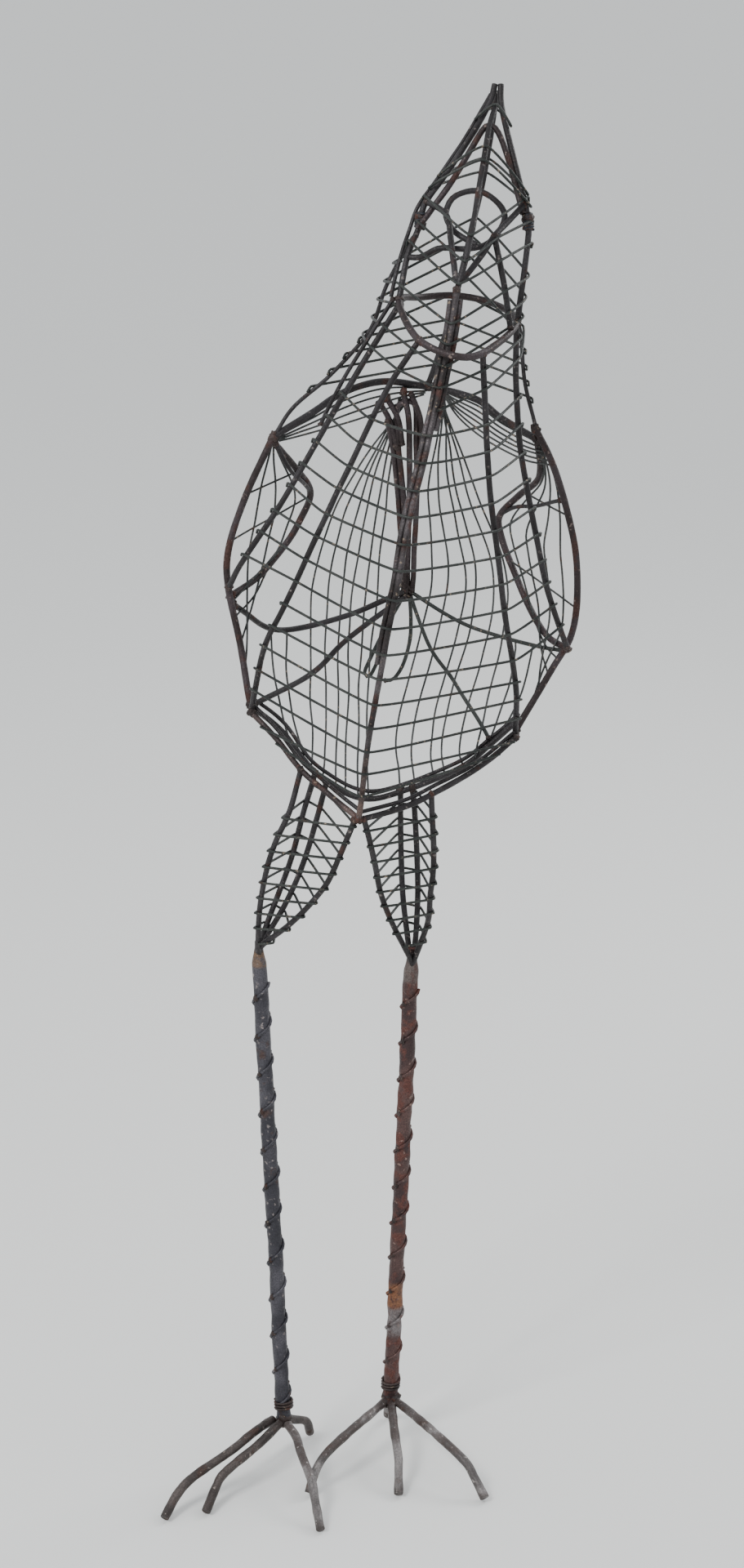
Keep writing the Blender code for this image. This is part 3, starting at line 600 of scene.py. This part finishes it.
def iron(name, dark, light, rust, rust_share, worn_and_sheen, bands=(), grain=1.0):
    """Weathered iron: two tones in patches, rust, pale spots of wear and painted highlight, fine pitting and
    bands at set heights.

    A band is (height, half of its width, colour, strength).
    """
    material = bpy.data.materials.new(name)
    material.use_nodes = True
    nodes, links = material.node_tree.nodes, material.node_tree.links
    shader = nodes["Principled BSDF"]
    shader.inputs["Metallic"].default_value = METALLIC
    shader.inputs["Specular IOR Level"].default_value = SPECULAR
    place = nodes.new("ShaderNodeTexCoord").outputs["Object"]

    def cloud(scale, detail, low, high, seed):
        texture = nodes.new("ShaderNodeTexNoise")
        texture.noise_dimensions = "4D"
        texture.inputs["W"].default_value = seed
        texture.inputs["Scale"].default_value = scale
        texture.inputs["Detail"].default_value = detail
        links.new(place, texture.inputs["Vector"])
        window = nodes.new("ShaderNodeMapRange")
        window.interpolation_type = "SMOOTHSTEP"
        window.inputs["From Min"].default_value = low
        window.inputs["From Max"].default_value = high
        links.new(texture.outputs["Fac"], window.inputs["Value"])
        return window.outputs["Result"]

    def mixed(factor, first, second):
        mix = nodes.new("ShaderNodeMix")
        mix.data_type = "RGBA"
        links.new(factor, mix.inputs["Factor"])
        for socket, colour in ((mix.inputs["A"], first), (mix.inputs["B"], second)):
            if isinstance(colour, tuple):
                socket.default_value = (*colour, 1)
            else:
                links.new(colour, socket)
        return mix.outputs["Result"]

    def maths(kind, first, second):
        node = nodes.new("ShaderNodeMath")
        node.operation = kind
        for socket, value in zip(node.inputs, (first, second)):
            if isinstance(value, (int, float)):
                socket.default_value = value
            else:
                links.new(value, socket)
        return node.outputs["Value"]

    def grained(scale, *rest):
        return cloud(scale * grain, *rest)

    colour = mixed(cloud(*PATCH_CLOUD), dark, light)
    rust_low = RUST_LEVEL - RUST_LEVEL_DROP * rust_share
    rusted = grained(RUST_CLOUD_SCALE, RUST_CLOUD_DETAIL, rust_low, rust_low + RUST_EDGE, RUST_CLOUD_SEED)
    colour = mixed(rusted, colour, rust)
    for height, half, band_colour, strength in bands:
        split = nodes.new("ShaderNodeSeparateXYZ")
        links.new(place, split.inputs["Vector"])
        off = maths("ABSOLUTE", maths("SUBTRACT", split.outputs["Z"], height * MM), 0)
        edge = nodes.new("ShaderNodeMapRange")
        edge.interpolation_type = "SMOOTHSTEP"
        edge.inputs["From Min"].default_value = BAND_EDGE[0] * half * MM
        edge.inputs["From Max"].default_value = BAND_EDGE[1] * half * MM
        links.new(off, edge.inputs["Value"])
        broken = cloud(*BAND_CLOUD)
        colour = mixed(maths("MULTIPLY", maths("MULTIPLY", edge.outputs["Result"], broken), strength),
                       colour, band_colour)
    # Pale spots: partly wear, partly painted highlight
    colour = mixed(grained(*BRIGHT_CLOUD), colour, worn_and_sheen)
    pits = grained(*PIT_CLOUD)
    pit_colour = tuple(PIT_DARKNESS * channel for channel in dark)
    colour = mixed(maths("MULTIPLY", pits, PIT_STRENGTH), colour, pit_colour)
    links.new(colour, shader.inputs["Base Color"])

    rough = maths("ADD", maths("MULTIPLY", rusted, RUST_ROUGHNESS), maths("MULTIPLY", pits, PIT_ROUGHNESS))
    links.new(maths("ADD", rough, ROUGHNESS), shader.inputs["Roughness"])
    relief = maths("ADD", maths("MULTIPLY", pits, PIT_RELIEF), maths("MULTIPLY", rusted, RUST_RELIEF))
    bump = nodes.new("ShaderNodeBump")
    bump.inputs["Strength"].default_value = BUMP_STRENGTH
    bump.inputs["Distance"].default_value = BUMP_HEIGHT * MM
    links.new(relief, bump.inputs["Height"])
    links.new(bump.outputs["Normal"], shader.inputs["Normal"])
    MATERIALS[name] = material


# Pieces

def to_row(point):
    """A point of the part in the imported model's own place, in metres."""
    return Vector(((point[0] - MIDDLE[0]) * MM, (point[1] - MIDDLE[1]) * MM, point[2] * MM))


def piece(name, paths, radius, material, nodes=(), sides=3, swell=BAR_SWELL, closed=False,
          thickness=None):
    """Round bars as one curve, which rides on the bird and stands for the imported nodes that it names."""
    curve = bpy.data.curves.new(name, "CURVE")
    curve.dimensions = "3D"
    curve.bevel_depth = radius * MM
    curve.bevel_resolution = sides
    curve.use_fill_caps = True
    for path in paths:
        spline = curve.splines.new("POLY")
        spline.points.add(len(path) - 1)
        spline.use_cyclic_u = closed
        for i, point in enumerate(path):
            spline.points[i].co = (*to_row(point), 1)
            spline.points[i].radius = 1 + swell * noise.noise(Vector(point) / SWELL_LENGTH)
            if thickness:
                spline.points[i].radius *= thickness(point)
    curve.materials.append(MATERIALS[material])
    obj = bpy.data.objects.new(name, curve)
    bpy.context.scene.collection.objects.link(obj)
    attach(obj, "root")
    if nodes:
        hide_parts(*nodes)


def bent(name, bends, radius, material, replaced=True, closed=False):
    """One bent rod, kept by name for the wires over it. Its ends are welded, but not at the beak's tip nor on
    the face loop, the brow rod and the second head rod.

    A wire lies over a rod at its radius, and sinks a little into one that is thicker than most.
    """
    seed = sum(map(ord, name)) % SEED_COUNT
    points = waved(spaced(smooth(bends, closed), BAR_STEP, closed), ROD_WAVE, seed)
    piece("iron_" + name, [points], radius, material, (name,) if replaced else (), closed=closed)
    BARS[name] = points
    WRAP_RADII[name] = min(radius, ROD_RADIUS)
    if not closed:
        for end in (points[0], points[-1]):
            if end[2] < BEAK_BARE_HEIGHT and name not in LOOSE_ENDED:
                WELDS.append((end, radius * WELD_SWELL))
    return points


# Rods of the bird

def make_head():
    """The rods of the head and the beak, and each eye as a coil between two knots of weld."""
    for name, bends in HEAD_ROUTES.items():
        bent(name, bends, ROD_RADIUS, "dark_rod")
    bent("face_loop", FACE_LOOP, ROD_RADIUS, "dark_rod")
    bent("brow_rod", BROW_ROD, ROD_RADIUS, "rusty_rod", replaced=False)
    bent("second_head_rod", SECOND_HEAD_ROD, STAY_RADIUS, "dark_rod", replaced=False)
    for rod, height in EYE_HEIGHTS.items():
        middle, along = at_height(BARS[rod], height)
        coil_start = middle - along * EYE_PITCH * EYE_TURNS / 2
        turns = wound(coil_start, along, ROD_RADIUS + WIRE_RADIUS, EYE_PITCH, EYE_TURNS)
        name = rod.replace("head_rod", "eye_coil")
        piece("iron_" + name, [turns], WIRE_RADIUS, "dark_wire", (name,))
        WELDS.append((middle + EYE_KNOT_SHIFT, EYE_KNOT))
        WELDS.append((middle - EYE_KNOT_SHIFT, EYE_KNOT))


def make_neck():
    """A rod down the right of the throat, and thinner ones from the head to the shoulders."""
    for name, bends in NECK_ROUTES.items():
        radius = STAY_RADIUS if "nape" in name else ROD_RADIUS
        bent(name, bends, radius, "dark_rod")


def make_breast():
    """The keel with a rod on each side of it, the neck ring and the rods further round."""
    keel = bent("keel_rod", KEEL, ROD_RADIUS, "keel")
    aside = KEEL_APART * math.cos(math.radians(KEEL_BUNDLE_ANGLE))
    behind = KEEL_APART * math.sin(math.radians(KEEL_BUNDLE_ANGLE))
    for name, across, foot, slot in (("left_keel_rod", -aside, LEFT_KEEL_FOOT, "rusty_rod"),
                                     ("right_keel_rod", aside, RIGHT_KEEL_FOOT, "dark_rod")):
        stretch = keel[(keel[:, 2] > foot) & (keel[:, 2] < KEEL_SIDES_TOP)] + (across, behind, 0)
        piece("iron_" + name, [waved(stretch, ROD_WAVE, seed=5)], ROD_RADIUS, "keel", (name,))
    bent("neck_ring", NECK_RING, THICK_RADIUS, "rusty_rod", closed=True)
    for name, bends in BREAST_ROUTES.items():
        bent(name, bends, ROD_RADIUS, "dark_rod")
    bent("second_side_rod", SECOND_SIDE_ROD, STAY_RADIUS, "dark_rod", replaced=False)


def make_back():
    """Shoulders, wings, the lower edge of the body, the spine and the stays of the tail."""
    for name, bends in SHOULDER_ROUTES.items():
        bent(name, bends, THICK_RADIUS, "dark_rod")
    for name, bends in WING_ROUTES.items():
        bent(name, bends, THICK_RADIUS, "rusty_rod")
    for name, bends in WING_BRACES.items():
        bent(name, bends, STAY_RADIUS, "dark_rod", replaced=False)
    for name, bends in RIM_ROUTES.items():
        bent(name, bends, ROD_RADIUS, "rim" if name == "left_hip_rim" else "dark_rod")
        second = waved(BARS[name] + RIM_SHIFT, SECOND_ROD_WAVE, seed=11)
        piece("iron_second_" + name, [second], STAY_RADIUS, "dark_rod")
    bent("spine_rod", SPINE_LOOP, ROD_RADIUS, "rusty_rod")
    for i, bends in enumerate(SPINE_BRACES):
        bent(f"spine_brace_{i + 1}", bends, ROD_RADIUS, "rusty_rod", replaced=False)
    for name, bends in {**TAIL_STAYS, **TAIL_LOOPS}.items():
        thick = name.startswith("left") and name.endswith("stay")
        radius, material = (ROD_RADIUS, "dark_rod") if thick else (STAY_RADIUS, "thin_wire")
        bent(name, bends, radius, material)


def make_legs():
    """The legs with their narrow necks, the wire wound round them and the collars at their ankles."""
    for name, (knee, ankle) in LEGS.items():
        material = "grey_leg" if name == "left_leg" else "rusty_leg"
        seed = LEG_SEEDS[name]
        knee, ankle = np.array(knee, float), np.array(ankle, float)
        taper = knee[2] + np.array(KNEE_TAPER)

        def thickness(point):
            knob = 1 + LEG_SWELL * noise.noise(Vector((seed, 0, point[2] / LEG_KNOB_LENGTH)))
            return knob * float(np.interp(point[2], taper, (1.0, KNEE_SHARE)))

        line = waved(spaced(np.array([knee + (0, 0, KNEE_RISE), knee, ankle]), LEG_STEP), LEG_WAVE, seed)
        piece("iron_" + name, [line], LEG_RADIUS, material, (name,), sides=5, thickness=thickness)
        down = unit(ankle - knee)
        length = np.linalg.norm(ankle - knee) - sum(LEG_WIRE_ENDS)
        coil = wound(knee + down * LEG_WIRE_ENDS[0], down, LEG_RADIUS + LEG_WIRE_STAND_OFF, LEG_WIRE_PITCH,
                     length / LEG_WIRE_PITCH, LEG_WIRE_AROUND)
        coil = waved(coil, LEG_WIRE_WAVE, seed)
        piece(f"iron_{name}_wire", [coil], LEG_WIRE_RADIUS, material, (name + "_wire",))
        for i in range(FIRST_BEAD, len(coil) - LAST_BEAD, LEG_WIRE_AROUND // 2):
            WELDS.append((np.array(coil[i]), LEG_BEAD))
        WELDS.append((ankle - (0, 0, ANKLE_WELD_DROP), ANKLE_WELD))
        collar_top = ankle + (0, 0, COLLAR_RISE)
        collar = wound(collar_top, -down, LEG_RADIUS + WIRE_RADIUS, COLLAR_PITCH, COLLAR_TURNS)
        piece(f"iron_{name}_collar", [collar], WIRE_RADIUS, "weld")


def toe(name, points, material, nodes=()):
    """One toe, or a part of one."""
    piece("iron_" + name, [points], TOE_RADIUS, material, nodes, sides=4, swell=TOE_SWELL)


def make_toes():
    """The toes, of which one runs on under the ankle and parts there into a grey toe and a back toe made dark
    brown as painted shade.
    """
    for name, bends in TOES.items():
        route = smooth([bend if len(bend) == 3 else (*bend, TOE_TIP_HEIGHT) for bend in bends])
        points = waved(spaced(route, BAR_STEP), TOE_WAVE, seed=4)
        points[:, 2] = np.maximum(points[:, 2], TOE_TIP_HEIGHT)
        if name == "left_foot_inner_toe":
            parting = int(np.argmin(np.linalg.norm(points - LEFT_BACK_TOE_START, axis=1)))
            toe(name, points[:parting + 1], "grey_toe", (name,))
            # The back toe takes the dark brown iron as painted shade
            toe("left_foot_back_toe", points[parting:], "brown_toe")
        else:
            toe(name, points, "brown_toe" if name in BROWN_TOES else "grey_toe", (name,))


def make_thighs():
    """The bent rods of both thighs, and a wire wound round the four limbs of each.

    Each rod comes down to the knee and goes up again, so it has two limbs. Corners are the limbs in their
    order round the thigh.
    """
    for name, bends in THIGH_ROUTES.items():
        bent(name, bends, ROD_RADIUS, "dark_rod")
    for side in ("left", "right"):
        limbs = []
        for points in (BARS[side + "_thigh_front"], BARS[side + "_thigh_rear"]):
            foot = int(np.argmin(points[:, 2]))
            limbs += [points[:foot + 1], points[foot:]]
        corners = [limbs[0], limbs[1], limbs[3], limbs[2]]
        low, high = THIGH_HEIGHTS
        steps = THIGH_TURNS * len(corners)
        crossings = []
        for i in range(steps):
            height = low + (high - low) * i / (steps - 1)
            ring = [at_height(limb, height)[0] for limb in corners]
            point, run = at_height(corners[i % len(corners)], height)
            crossings.append((point, run, point - np.mean(ring, axis=0), ROD_RADIUS, False))
        nodes = (side + "_thigh_lower_wire", side + "_thigh_upper_wire")
        wire = over_rods(crossings, THIGH_BEND)
        piece(f"iron_{side}_thigh_wire", [wire], WIRE_RADIUS, "thin_wire", nodes)


# Wires of the bird

def join_rods():
    """Rods that follow one another, kept as one line for the wires round the neck."""
    for name, (lower, upper) in NECK_LINES.items():
        BARS[name] = np.vstack([BARS[lower][::-1], BARS[upper][::-1]])


def crossing(rod, height, outward, turning=False):
    """Where a wire goes over a rod, as over_rods wants it. The keel is wider by the rods beside it."""
    point, run = at_height(BARS[rod], height)
    cover = KEEL_COVER if rod == "keel_rod" else 0.0
    return point, run, np.array(outward, float), WRAP_RADII.get(rod, ROD_RADIUS) + cover, turning


def hook(rod, height, way, ahead):
    """Where the end of a wire turns round a rod, a little below the place where it crosses it."""
    return crossing(rod, height - ROW_HOOK_DROP, (way, -HOOK_LEAN * ahead, 0), turning=True)


def wind_breast():
    """Wires across the breast. Each hooks round its outermost rods, but the last few end on the hip rims."""
    rows = []
    for row in range(BREAST_ROWS):
        on_rim = row - (BREAST_ROWS - RIM_ROWS)
        if on_rim >= 0:
            met = ["keel_rod"]
        else:
            met = [rod for rod in BREAST_HEIGHTS if row <= LAST_SIDE_ROWS.get(rod, BREAST_ROWS)]
        crossings = []
        for rod in met:
            jitter = RANDOM.uniform(-ROW_JITTER, ROW_JITTER)
            height = float(np.interp(row, MARKED_ROWS, BREAST_HEIGHTS[rod])) + jitter
            way = -1 if rod.startswith("left") else 1
            lean = 0 if rod == "keel_rod" else ROD_LEAN * way
            crossings.append(crossing(rod, height, (lean, -1, 0)))
        if on_rim >= 0:
            ends = [crossing(rim, RIM_ROW_ENDS[rim][on_rim], (way * RIM_LEAN, -1, 0))
                    for rim, way in (("left_hip_rim", -1), ("right_hip_rim", 1))]
        else:
            ends = [hook(met[i], crossings[i][0][2], way, -1) for i, way in ((0, -1), (-1, 1))]
        rows.append(over_rods([ends[0], *crossings, ends[1]], ROW_BEND))
    piece("iron_breast_wires", rows, WIRE_RADIUS, "thin_wire",
          ("left_breast_wire", "right_breast_wire"))


def hooked(heights, ahead):
    """A wire over rods at given heights, from left to right, which hooks round the first and the last."""
    rods = list(heights)
    leans = [-ROD_LEAN] + [0] * (len(rods) - 2) + [ROD_LEAN]
    crossings = [crossing(rod, heights[rod], (lean, ahead, 0)) for rod, lean in zip(rods, leans)]
    first = hook(rods[0], heights[rods[0]], -1, ahead)
    last = hook(rods[-1], heights[rods[-1]], 1, ahead)
    return over_rods([first, *crossings, last], NECK_BEND)


def wind_neck():
    """Wire wound up the neck, low at the keel and high at the nape, with separate wires above and below it.

    A turn skips each rod that doesn't come past its height.
    """
    crossings = []
    steps = NECK_TURNS * len(NECK_HEIGHTS)
    for i in range(steps):
        share = i / (steps - 1)
        heights = {rod: first + (last - first) * share for rod, (first, last) in NECK_HEIGHTS.items()}
        rod = list(heights)[i % len(heights)]
        met = {other: height for other, height in heights.items() if passes(BARS[other], height)}
        if rod not in met:
            continue
        ring = [at_height(BARS[other], height)[0] for other, height in met.items()]
        outward = (at_height(BARS[rod], heights[rod])[0] - np.mean(ring, axis=0)) * (1, 1, 0)
        crossings.append(crossing(rod, heights[rod], outward))
    wires = [over_rods(crossings, NECK_BEND)]
    for rows, rises, ahead in ((THROAT_ROWS, THROAT_RISES, -1), (NAPE_ROWS, NAPE_RISES, 1)):
        for row in rows:
            heights = {rod: row + rise for rod, rise in rises.items() if passes(BARS[rod], row + rise)}
            wires.append(hooked(heights, ahead))
    piece("iron_neck_wires", wires, WIRE_RADIUS, "thin_wire",
          ("lower_neck_wire", "upper_neck_wire"))


def wind_beak():
    """Separate closed wraps round the rods of the beak."""
    wraps = []
    for heights in BEAK_WRAPS:
        met = [at_height(BARS[rod], height)[0] for rod, height in zip(BEAK_RODS, heights)]
        crossings = [crossing(rod, height, point - np.mean(met, axis=0))
                     for rod, height, point in zip(BEAK_RODS, heights, met)]
        wraps.append(over_rods(crossings, WRAP_BEND, closed=True))
    piece("iron_beak_wires", wraps, WIRE_RADIUS, "thin_wire", ("beak_wire",))


def bar_point(bar, across):
    """The point of a bar at a place across."""
    points = BARS[bar]
    return points[int(np.argmin(np.abs(points[:, 0] - across)))]


def back_wire(bends, seed):
    """A wire that runs loosely through its bends."""
    return waved(spaced(smooth(bends), WIRE_STEP), BACK_WAVE, seed)


def wind_back():
    """Wires that fan out from the nape and run down the back to the rear rim, and more from the stays."""
    for side, (top, shares, marks) in BACK_FANS.items():
        way = -1 if side == "left" else 1
        lines = []
        for i, share in enumerate(shares):
            bends = [np.array(top, float) + (way * FAN_STARTS_APART * i, 0, 0)]
            for height, inner, outer in marks:
                bends.append(on_back(inner + (outer - inner) * share, height))
            foot = bar_point("rear_rim", bends[-1][0])
            if bends[-1][2] < foot[2] + FAN_TOP_RISE:
                bends.pop()
            lines.append(back_wire([*bends, foot], i + 20 * way))
        for i, across in enumerate(OUTER_BACK_LINES[side]):
            start = bar_point(side + "_tail_stay", across)
            foot = bar_point("rear_rim", across * OUTER_FOOT_SHARE)
            middle = (start + foot) / 2 + (way * OUTER_BOW[0], OUTER_BOW[1], 0)
            lines.append(back_wire([start, middle, foot], i + 31 * way))
        piece(f"iron_{side}_back_wires", lines, FINE_WIRE_RADIUS, "back_wire",
              (side + "_back_wire",))


def make_wing_wires():
    """Thin wires that run along inside each wing, and short ones across them from edge to rod."""
    for side, shares in WING_LINES.items():
        edge, rod = BARS[side + "_wing_edge"], BARS[side + "_wing_rod"]
        wires = []
        for i, share in enumerate(shares):
            wires.append(waved(beside_rods(edge, rod, share), BACK_WAVE, seed=i + 3))
        for place in WING_CROSS_WIRES[side]:
            start = edge[int(place * len(edge))]
            end = rod[int(place * len(rod))]
            wires.append(waved(spaced(np.array([start, end]), WIRE_STEP), ROD_WAVE, seed=place * 9))
        piece(f"iron_{side}_wing_wires", wires, FINE_WIRE_RADIUS, "back_wire")


def make_shoulder_wires():
    """Thin wires under the shoulder rods: a narrow leaf on the left and short arcs on the right."""
    rod = BARS["left_shoulder_rod"][::-1]
    leaf = spaced(smooth(SHOULDER_LEAF), WIRE_STEP)
    lines = [waved(leaf, ROD_WAVE, seed=2)]
    for i in range(SHOULDER_LEAF_LINES):
        share = (i + 1) / (SHOULDER_LEAF_LINES + 1)
        lines.append(waved(beside_rods(leaf, rod, share), ROD_WAVE, seed=i + 4))
    piece("iron_left_shoulder_wires", lines, FINE_WIRE_RADIUS, "back_wire")
    lowest = spaced(smooth(LOWEST_SHOULDER_ARC), WIRE_STEP)
    arcs = []
    for i in range(SHOULDER_ARC_LINES):
        share = (i + 1) / SHOULDER_ARC_LINES
        arcs.append(waved(beside_rods(BARS["right_shoulder_rod"], lowest, share), ROD_WAVE, seed=i + 9))
    piece("iron_right_shoulder_wires", arcs, FINE_WIRE_RADIUS, "back_wire")


def make_welds():
    """Lumps of weld metal at the joints, as one rough mesh."""
    mesh = bmesh.new()
    for i, (centre, size) in enumerate(WELDS):
        stretch = Matrix.Diagonal((RANDOM.uniform(*WELD_WIDTHS), RANDOM.uniform(*WELD_WIDTHS),
                                   RANDOM.uniform(*WELD_TALLNESS), 1))
        lump = bmesh.ops.create_icosphere(mesh, subdivisions=WELD_FINENESS, radius=size * MM)
        for vertex in lump["verts"]:
            direction = vertex.co.normalized()
            large = noise.noise(direction * WELD_LUMPS + Vector((i, 0, 0)))
            small = noise.noise(direction * WELD_GRAIN + Vector((0, i, 0)))
            rise = large + WELD_GRAIN_SHARE * small
            vertex.co = stretch @ (vertex.co * (1 + WELD_ROUGHNESS * rise)) + to_row(centre)
            vertex.co.z = max(vertex.co.z, 0.0)
    data = bpy.data.meshes.new("weld_lumps")
    mesh.to_mesh(data)
    mesh.free()
    data.shade_smooth()
    data.materials.append(MATERIALS["weld"])
    obj = bpy.data.objects.new("weld_lumps", data)
    bpy.context.scene.collection.objects.link(obj)
    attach(obj, "root")


# Camera, stage and light

def make_camera():
    """The photograph's camera."""
    data = bpy.data.cameras.new("camera")
    data.sensor_fit = "VERTICAL"
    data.sensor_height = SENSOR
    data.lens = LENS
    data.clip_end = CLIP_END
    camera = bpy.data.objects.new("camera", data)
    camera.location = to_row(CAMERA_AT)
    camera.rotation_euler = (math.radians(90 - CAMERA_PITCH), 0, 0)
    bpy.context.scene.collection.objects.link(camera)
    bpy.context.scene.camera = camera


def make_stage():
    """A pale floor."""
    sides = ((-1, -1), (1, -1), (1, 1), (-1, 1))
    corners = [(x * FLOOR_REACH, y * FLOOR_REACH, 0) for x, y in sides]
    mesh = bpy.data.meshes.new("floor")
    mesh.from_pydata(corners, [], [(0, 1, 2, 3)])
    floor = bpy.data.objects.new("floor", mesh)
    material = bpy.data.materials.new("floor")
    material.use_nodes = True
    shader = material.node_tree.nodes["Principled BSDF"]
    shader.inputs["Base Color"].default_value = FLOOR_COLOUR
    shader.inputs["Roughness"].default_value = FLOOR_ROUGHNESS
    mesh.materials.append(material)
    bpy.context.scene.collection.objects.link(floor)


def make_light():
    """An even sky, and two soft lamps that look at the bird."""
    world = bpy.data.worlds.new("world")
    world.use_nodes = True
    world.node_tree.nodes["Background"].inputs["Color"].default_value = SKY_COLOUR
    world.node_tree.nodes["Background"].inputs["Strength"].default_value = SKY_STRENGTH
    bpy.context.scene.world = world
    for name, (place, size, power) in LIGHTS.items():
        light = bpy.data.lights.new(name, "AREA")
        light.size = size
        light.energy = power
        lamp = bpy.data.objects.new(name, light)
        lamp.location = place
        lamp.rotation_euler = (Vector(LIGHTS_AIM) - Vector(place)).to_track_quat("-Z", "Y").to_euler()
        bpy.context.scene.collection.objects.link(lamp)


# What the parts of the bird share: the irons and the rods by name, the radius at which wire lies over each
# rod, and the welds
RANDOM = random.Random(SEED)
noise.seed_set(SEED)
MATERIALS = {}
BARS = {}
WRAP_RADII = {}
WELDS = []

# The irons, each with its dark and light tones, its rust and the share of it, and the colour of pale spots
# that are partly wear and partly painted highlight
# TAN is the colour of pale spots on several irons: partly wear, partly painted highlight
TAN = (0.30, 0.23, 0.17)
iron("dark_rod", (0.016, 0.013, 0.014), (0.036, 0.032, 0.035), (0.056, 0.027, 0.021), 0.30,
     (0.20, 0.17, 0.16))
iron("rusty_rod", (0.022, 0.013, 0.013), (0.052, 0.038, 0.042), (0.065, 0.030, 0.024), 0.42,
     (0.24, 0.18, 0.16))
iron("keel", (0.020, 0.015, 0.015), (0.085, 0.072, 0.076), (0.075, 0.034, 0.028), 0.40, TAN,
     bands=[(585, 26, (0.110, 0.070, 0.060), 0.5), (560, 10, (0.15, 0.09, 0.07), 0.6)])
iron("rim", (0.030, 0.020, 0.020), (0.130, 0.085, 0.076), (0.100, 0.048, 0.038), 0.40, TAN)
iron("thin_wire", (0.016, 0.020, 0.018), (0.040, 0.044, 0.040), (0.060, 0.040, 0.030), 0.22, TAN, grain=1.4)
iron("dark_wire", (0.008, 0.010, 0.014), (0.022, 0.026, 0.036), (0.045, 0.028, 0.024), 0.20, TAN, grain=1.4)
# The wires at the back, in the wings and at the shoulders are a lighter copy of the thin wire's iron: painted
# light, drawn lighter than the same wire at the front
iron("back_wire", (0.024, 0.027, 0.026), (0.070, 0.072, 0.070), (0.080, 0.050, 0.036), 0.25, TAN, grain=1.4)
iron("grey_leg", (0.028, 0.027, 0.035), (0.078, 0.074, 0.088), (0.075, 0.046, 0.040), 0.26,
     (0.30, 0.26, 0.25), bands=[(432, 9, (0.045, 0.028, 0.022), 0.9), (421, 6, (0.20, 0.12, 0.07), 0.7)])
iron("rusty_leg", (0.040, 0.020, 0.020), (0.095, 0.050, 0.044), (0.120, 0.044, 0.034), 0.55,
     (0.28, 0.19, 0.16), bands=[(414, 12, (0.13, 0.11, 0.10), 0.8), (131, 11, (0.26, 0.11, 0.05), 0.8),
                                (108, 12, (0.20, 0.18, 0.18), 0.9)])
iron("grey_toe", (0.090, 0.080, 0.078), (0.260, 0.240, 0.235), (0.110, 0.068, 0.052), 0.32,
     (0.46, 0.42, 0.40), bands=[(0, 8, (0.050, 0.036, 0.032), 0.8), (36, 7, (0.060, 0.036, 0.030), 0.6)])
iron("brown_toe", (0.034, 0.026, 0.024), (0.095, 0.076, 0.070), (0.075, 0.042, 0.033), 0.40,
     (0.30, 0.25, 0.22))
iron("weld", (0.022, 0.014, 0.013), (0.060, 0.040, 0.036), (0.085, 0.036, 0.026), 0.45, TAN, grain=1.3)

# The whole scene
make_camera()
make_stage()
make_light()
make_breast()
make_back()
make_head()
make_neck()
make_thighs()
make_legs()
make_toes()
join_rods()
wind_breast()
wind_neck()
wind_beak()
wind_back()
make_wing_wires()
make_shoulder_wires()
make_welds()
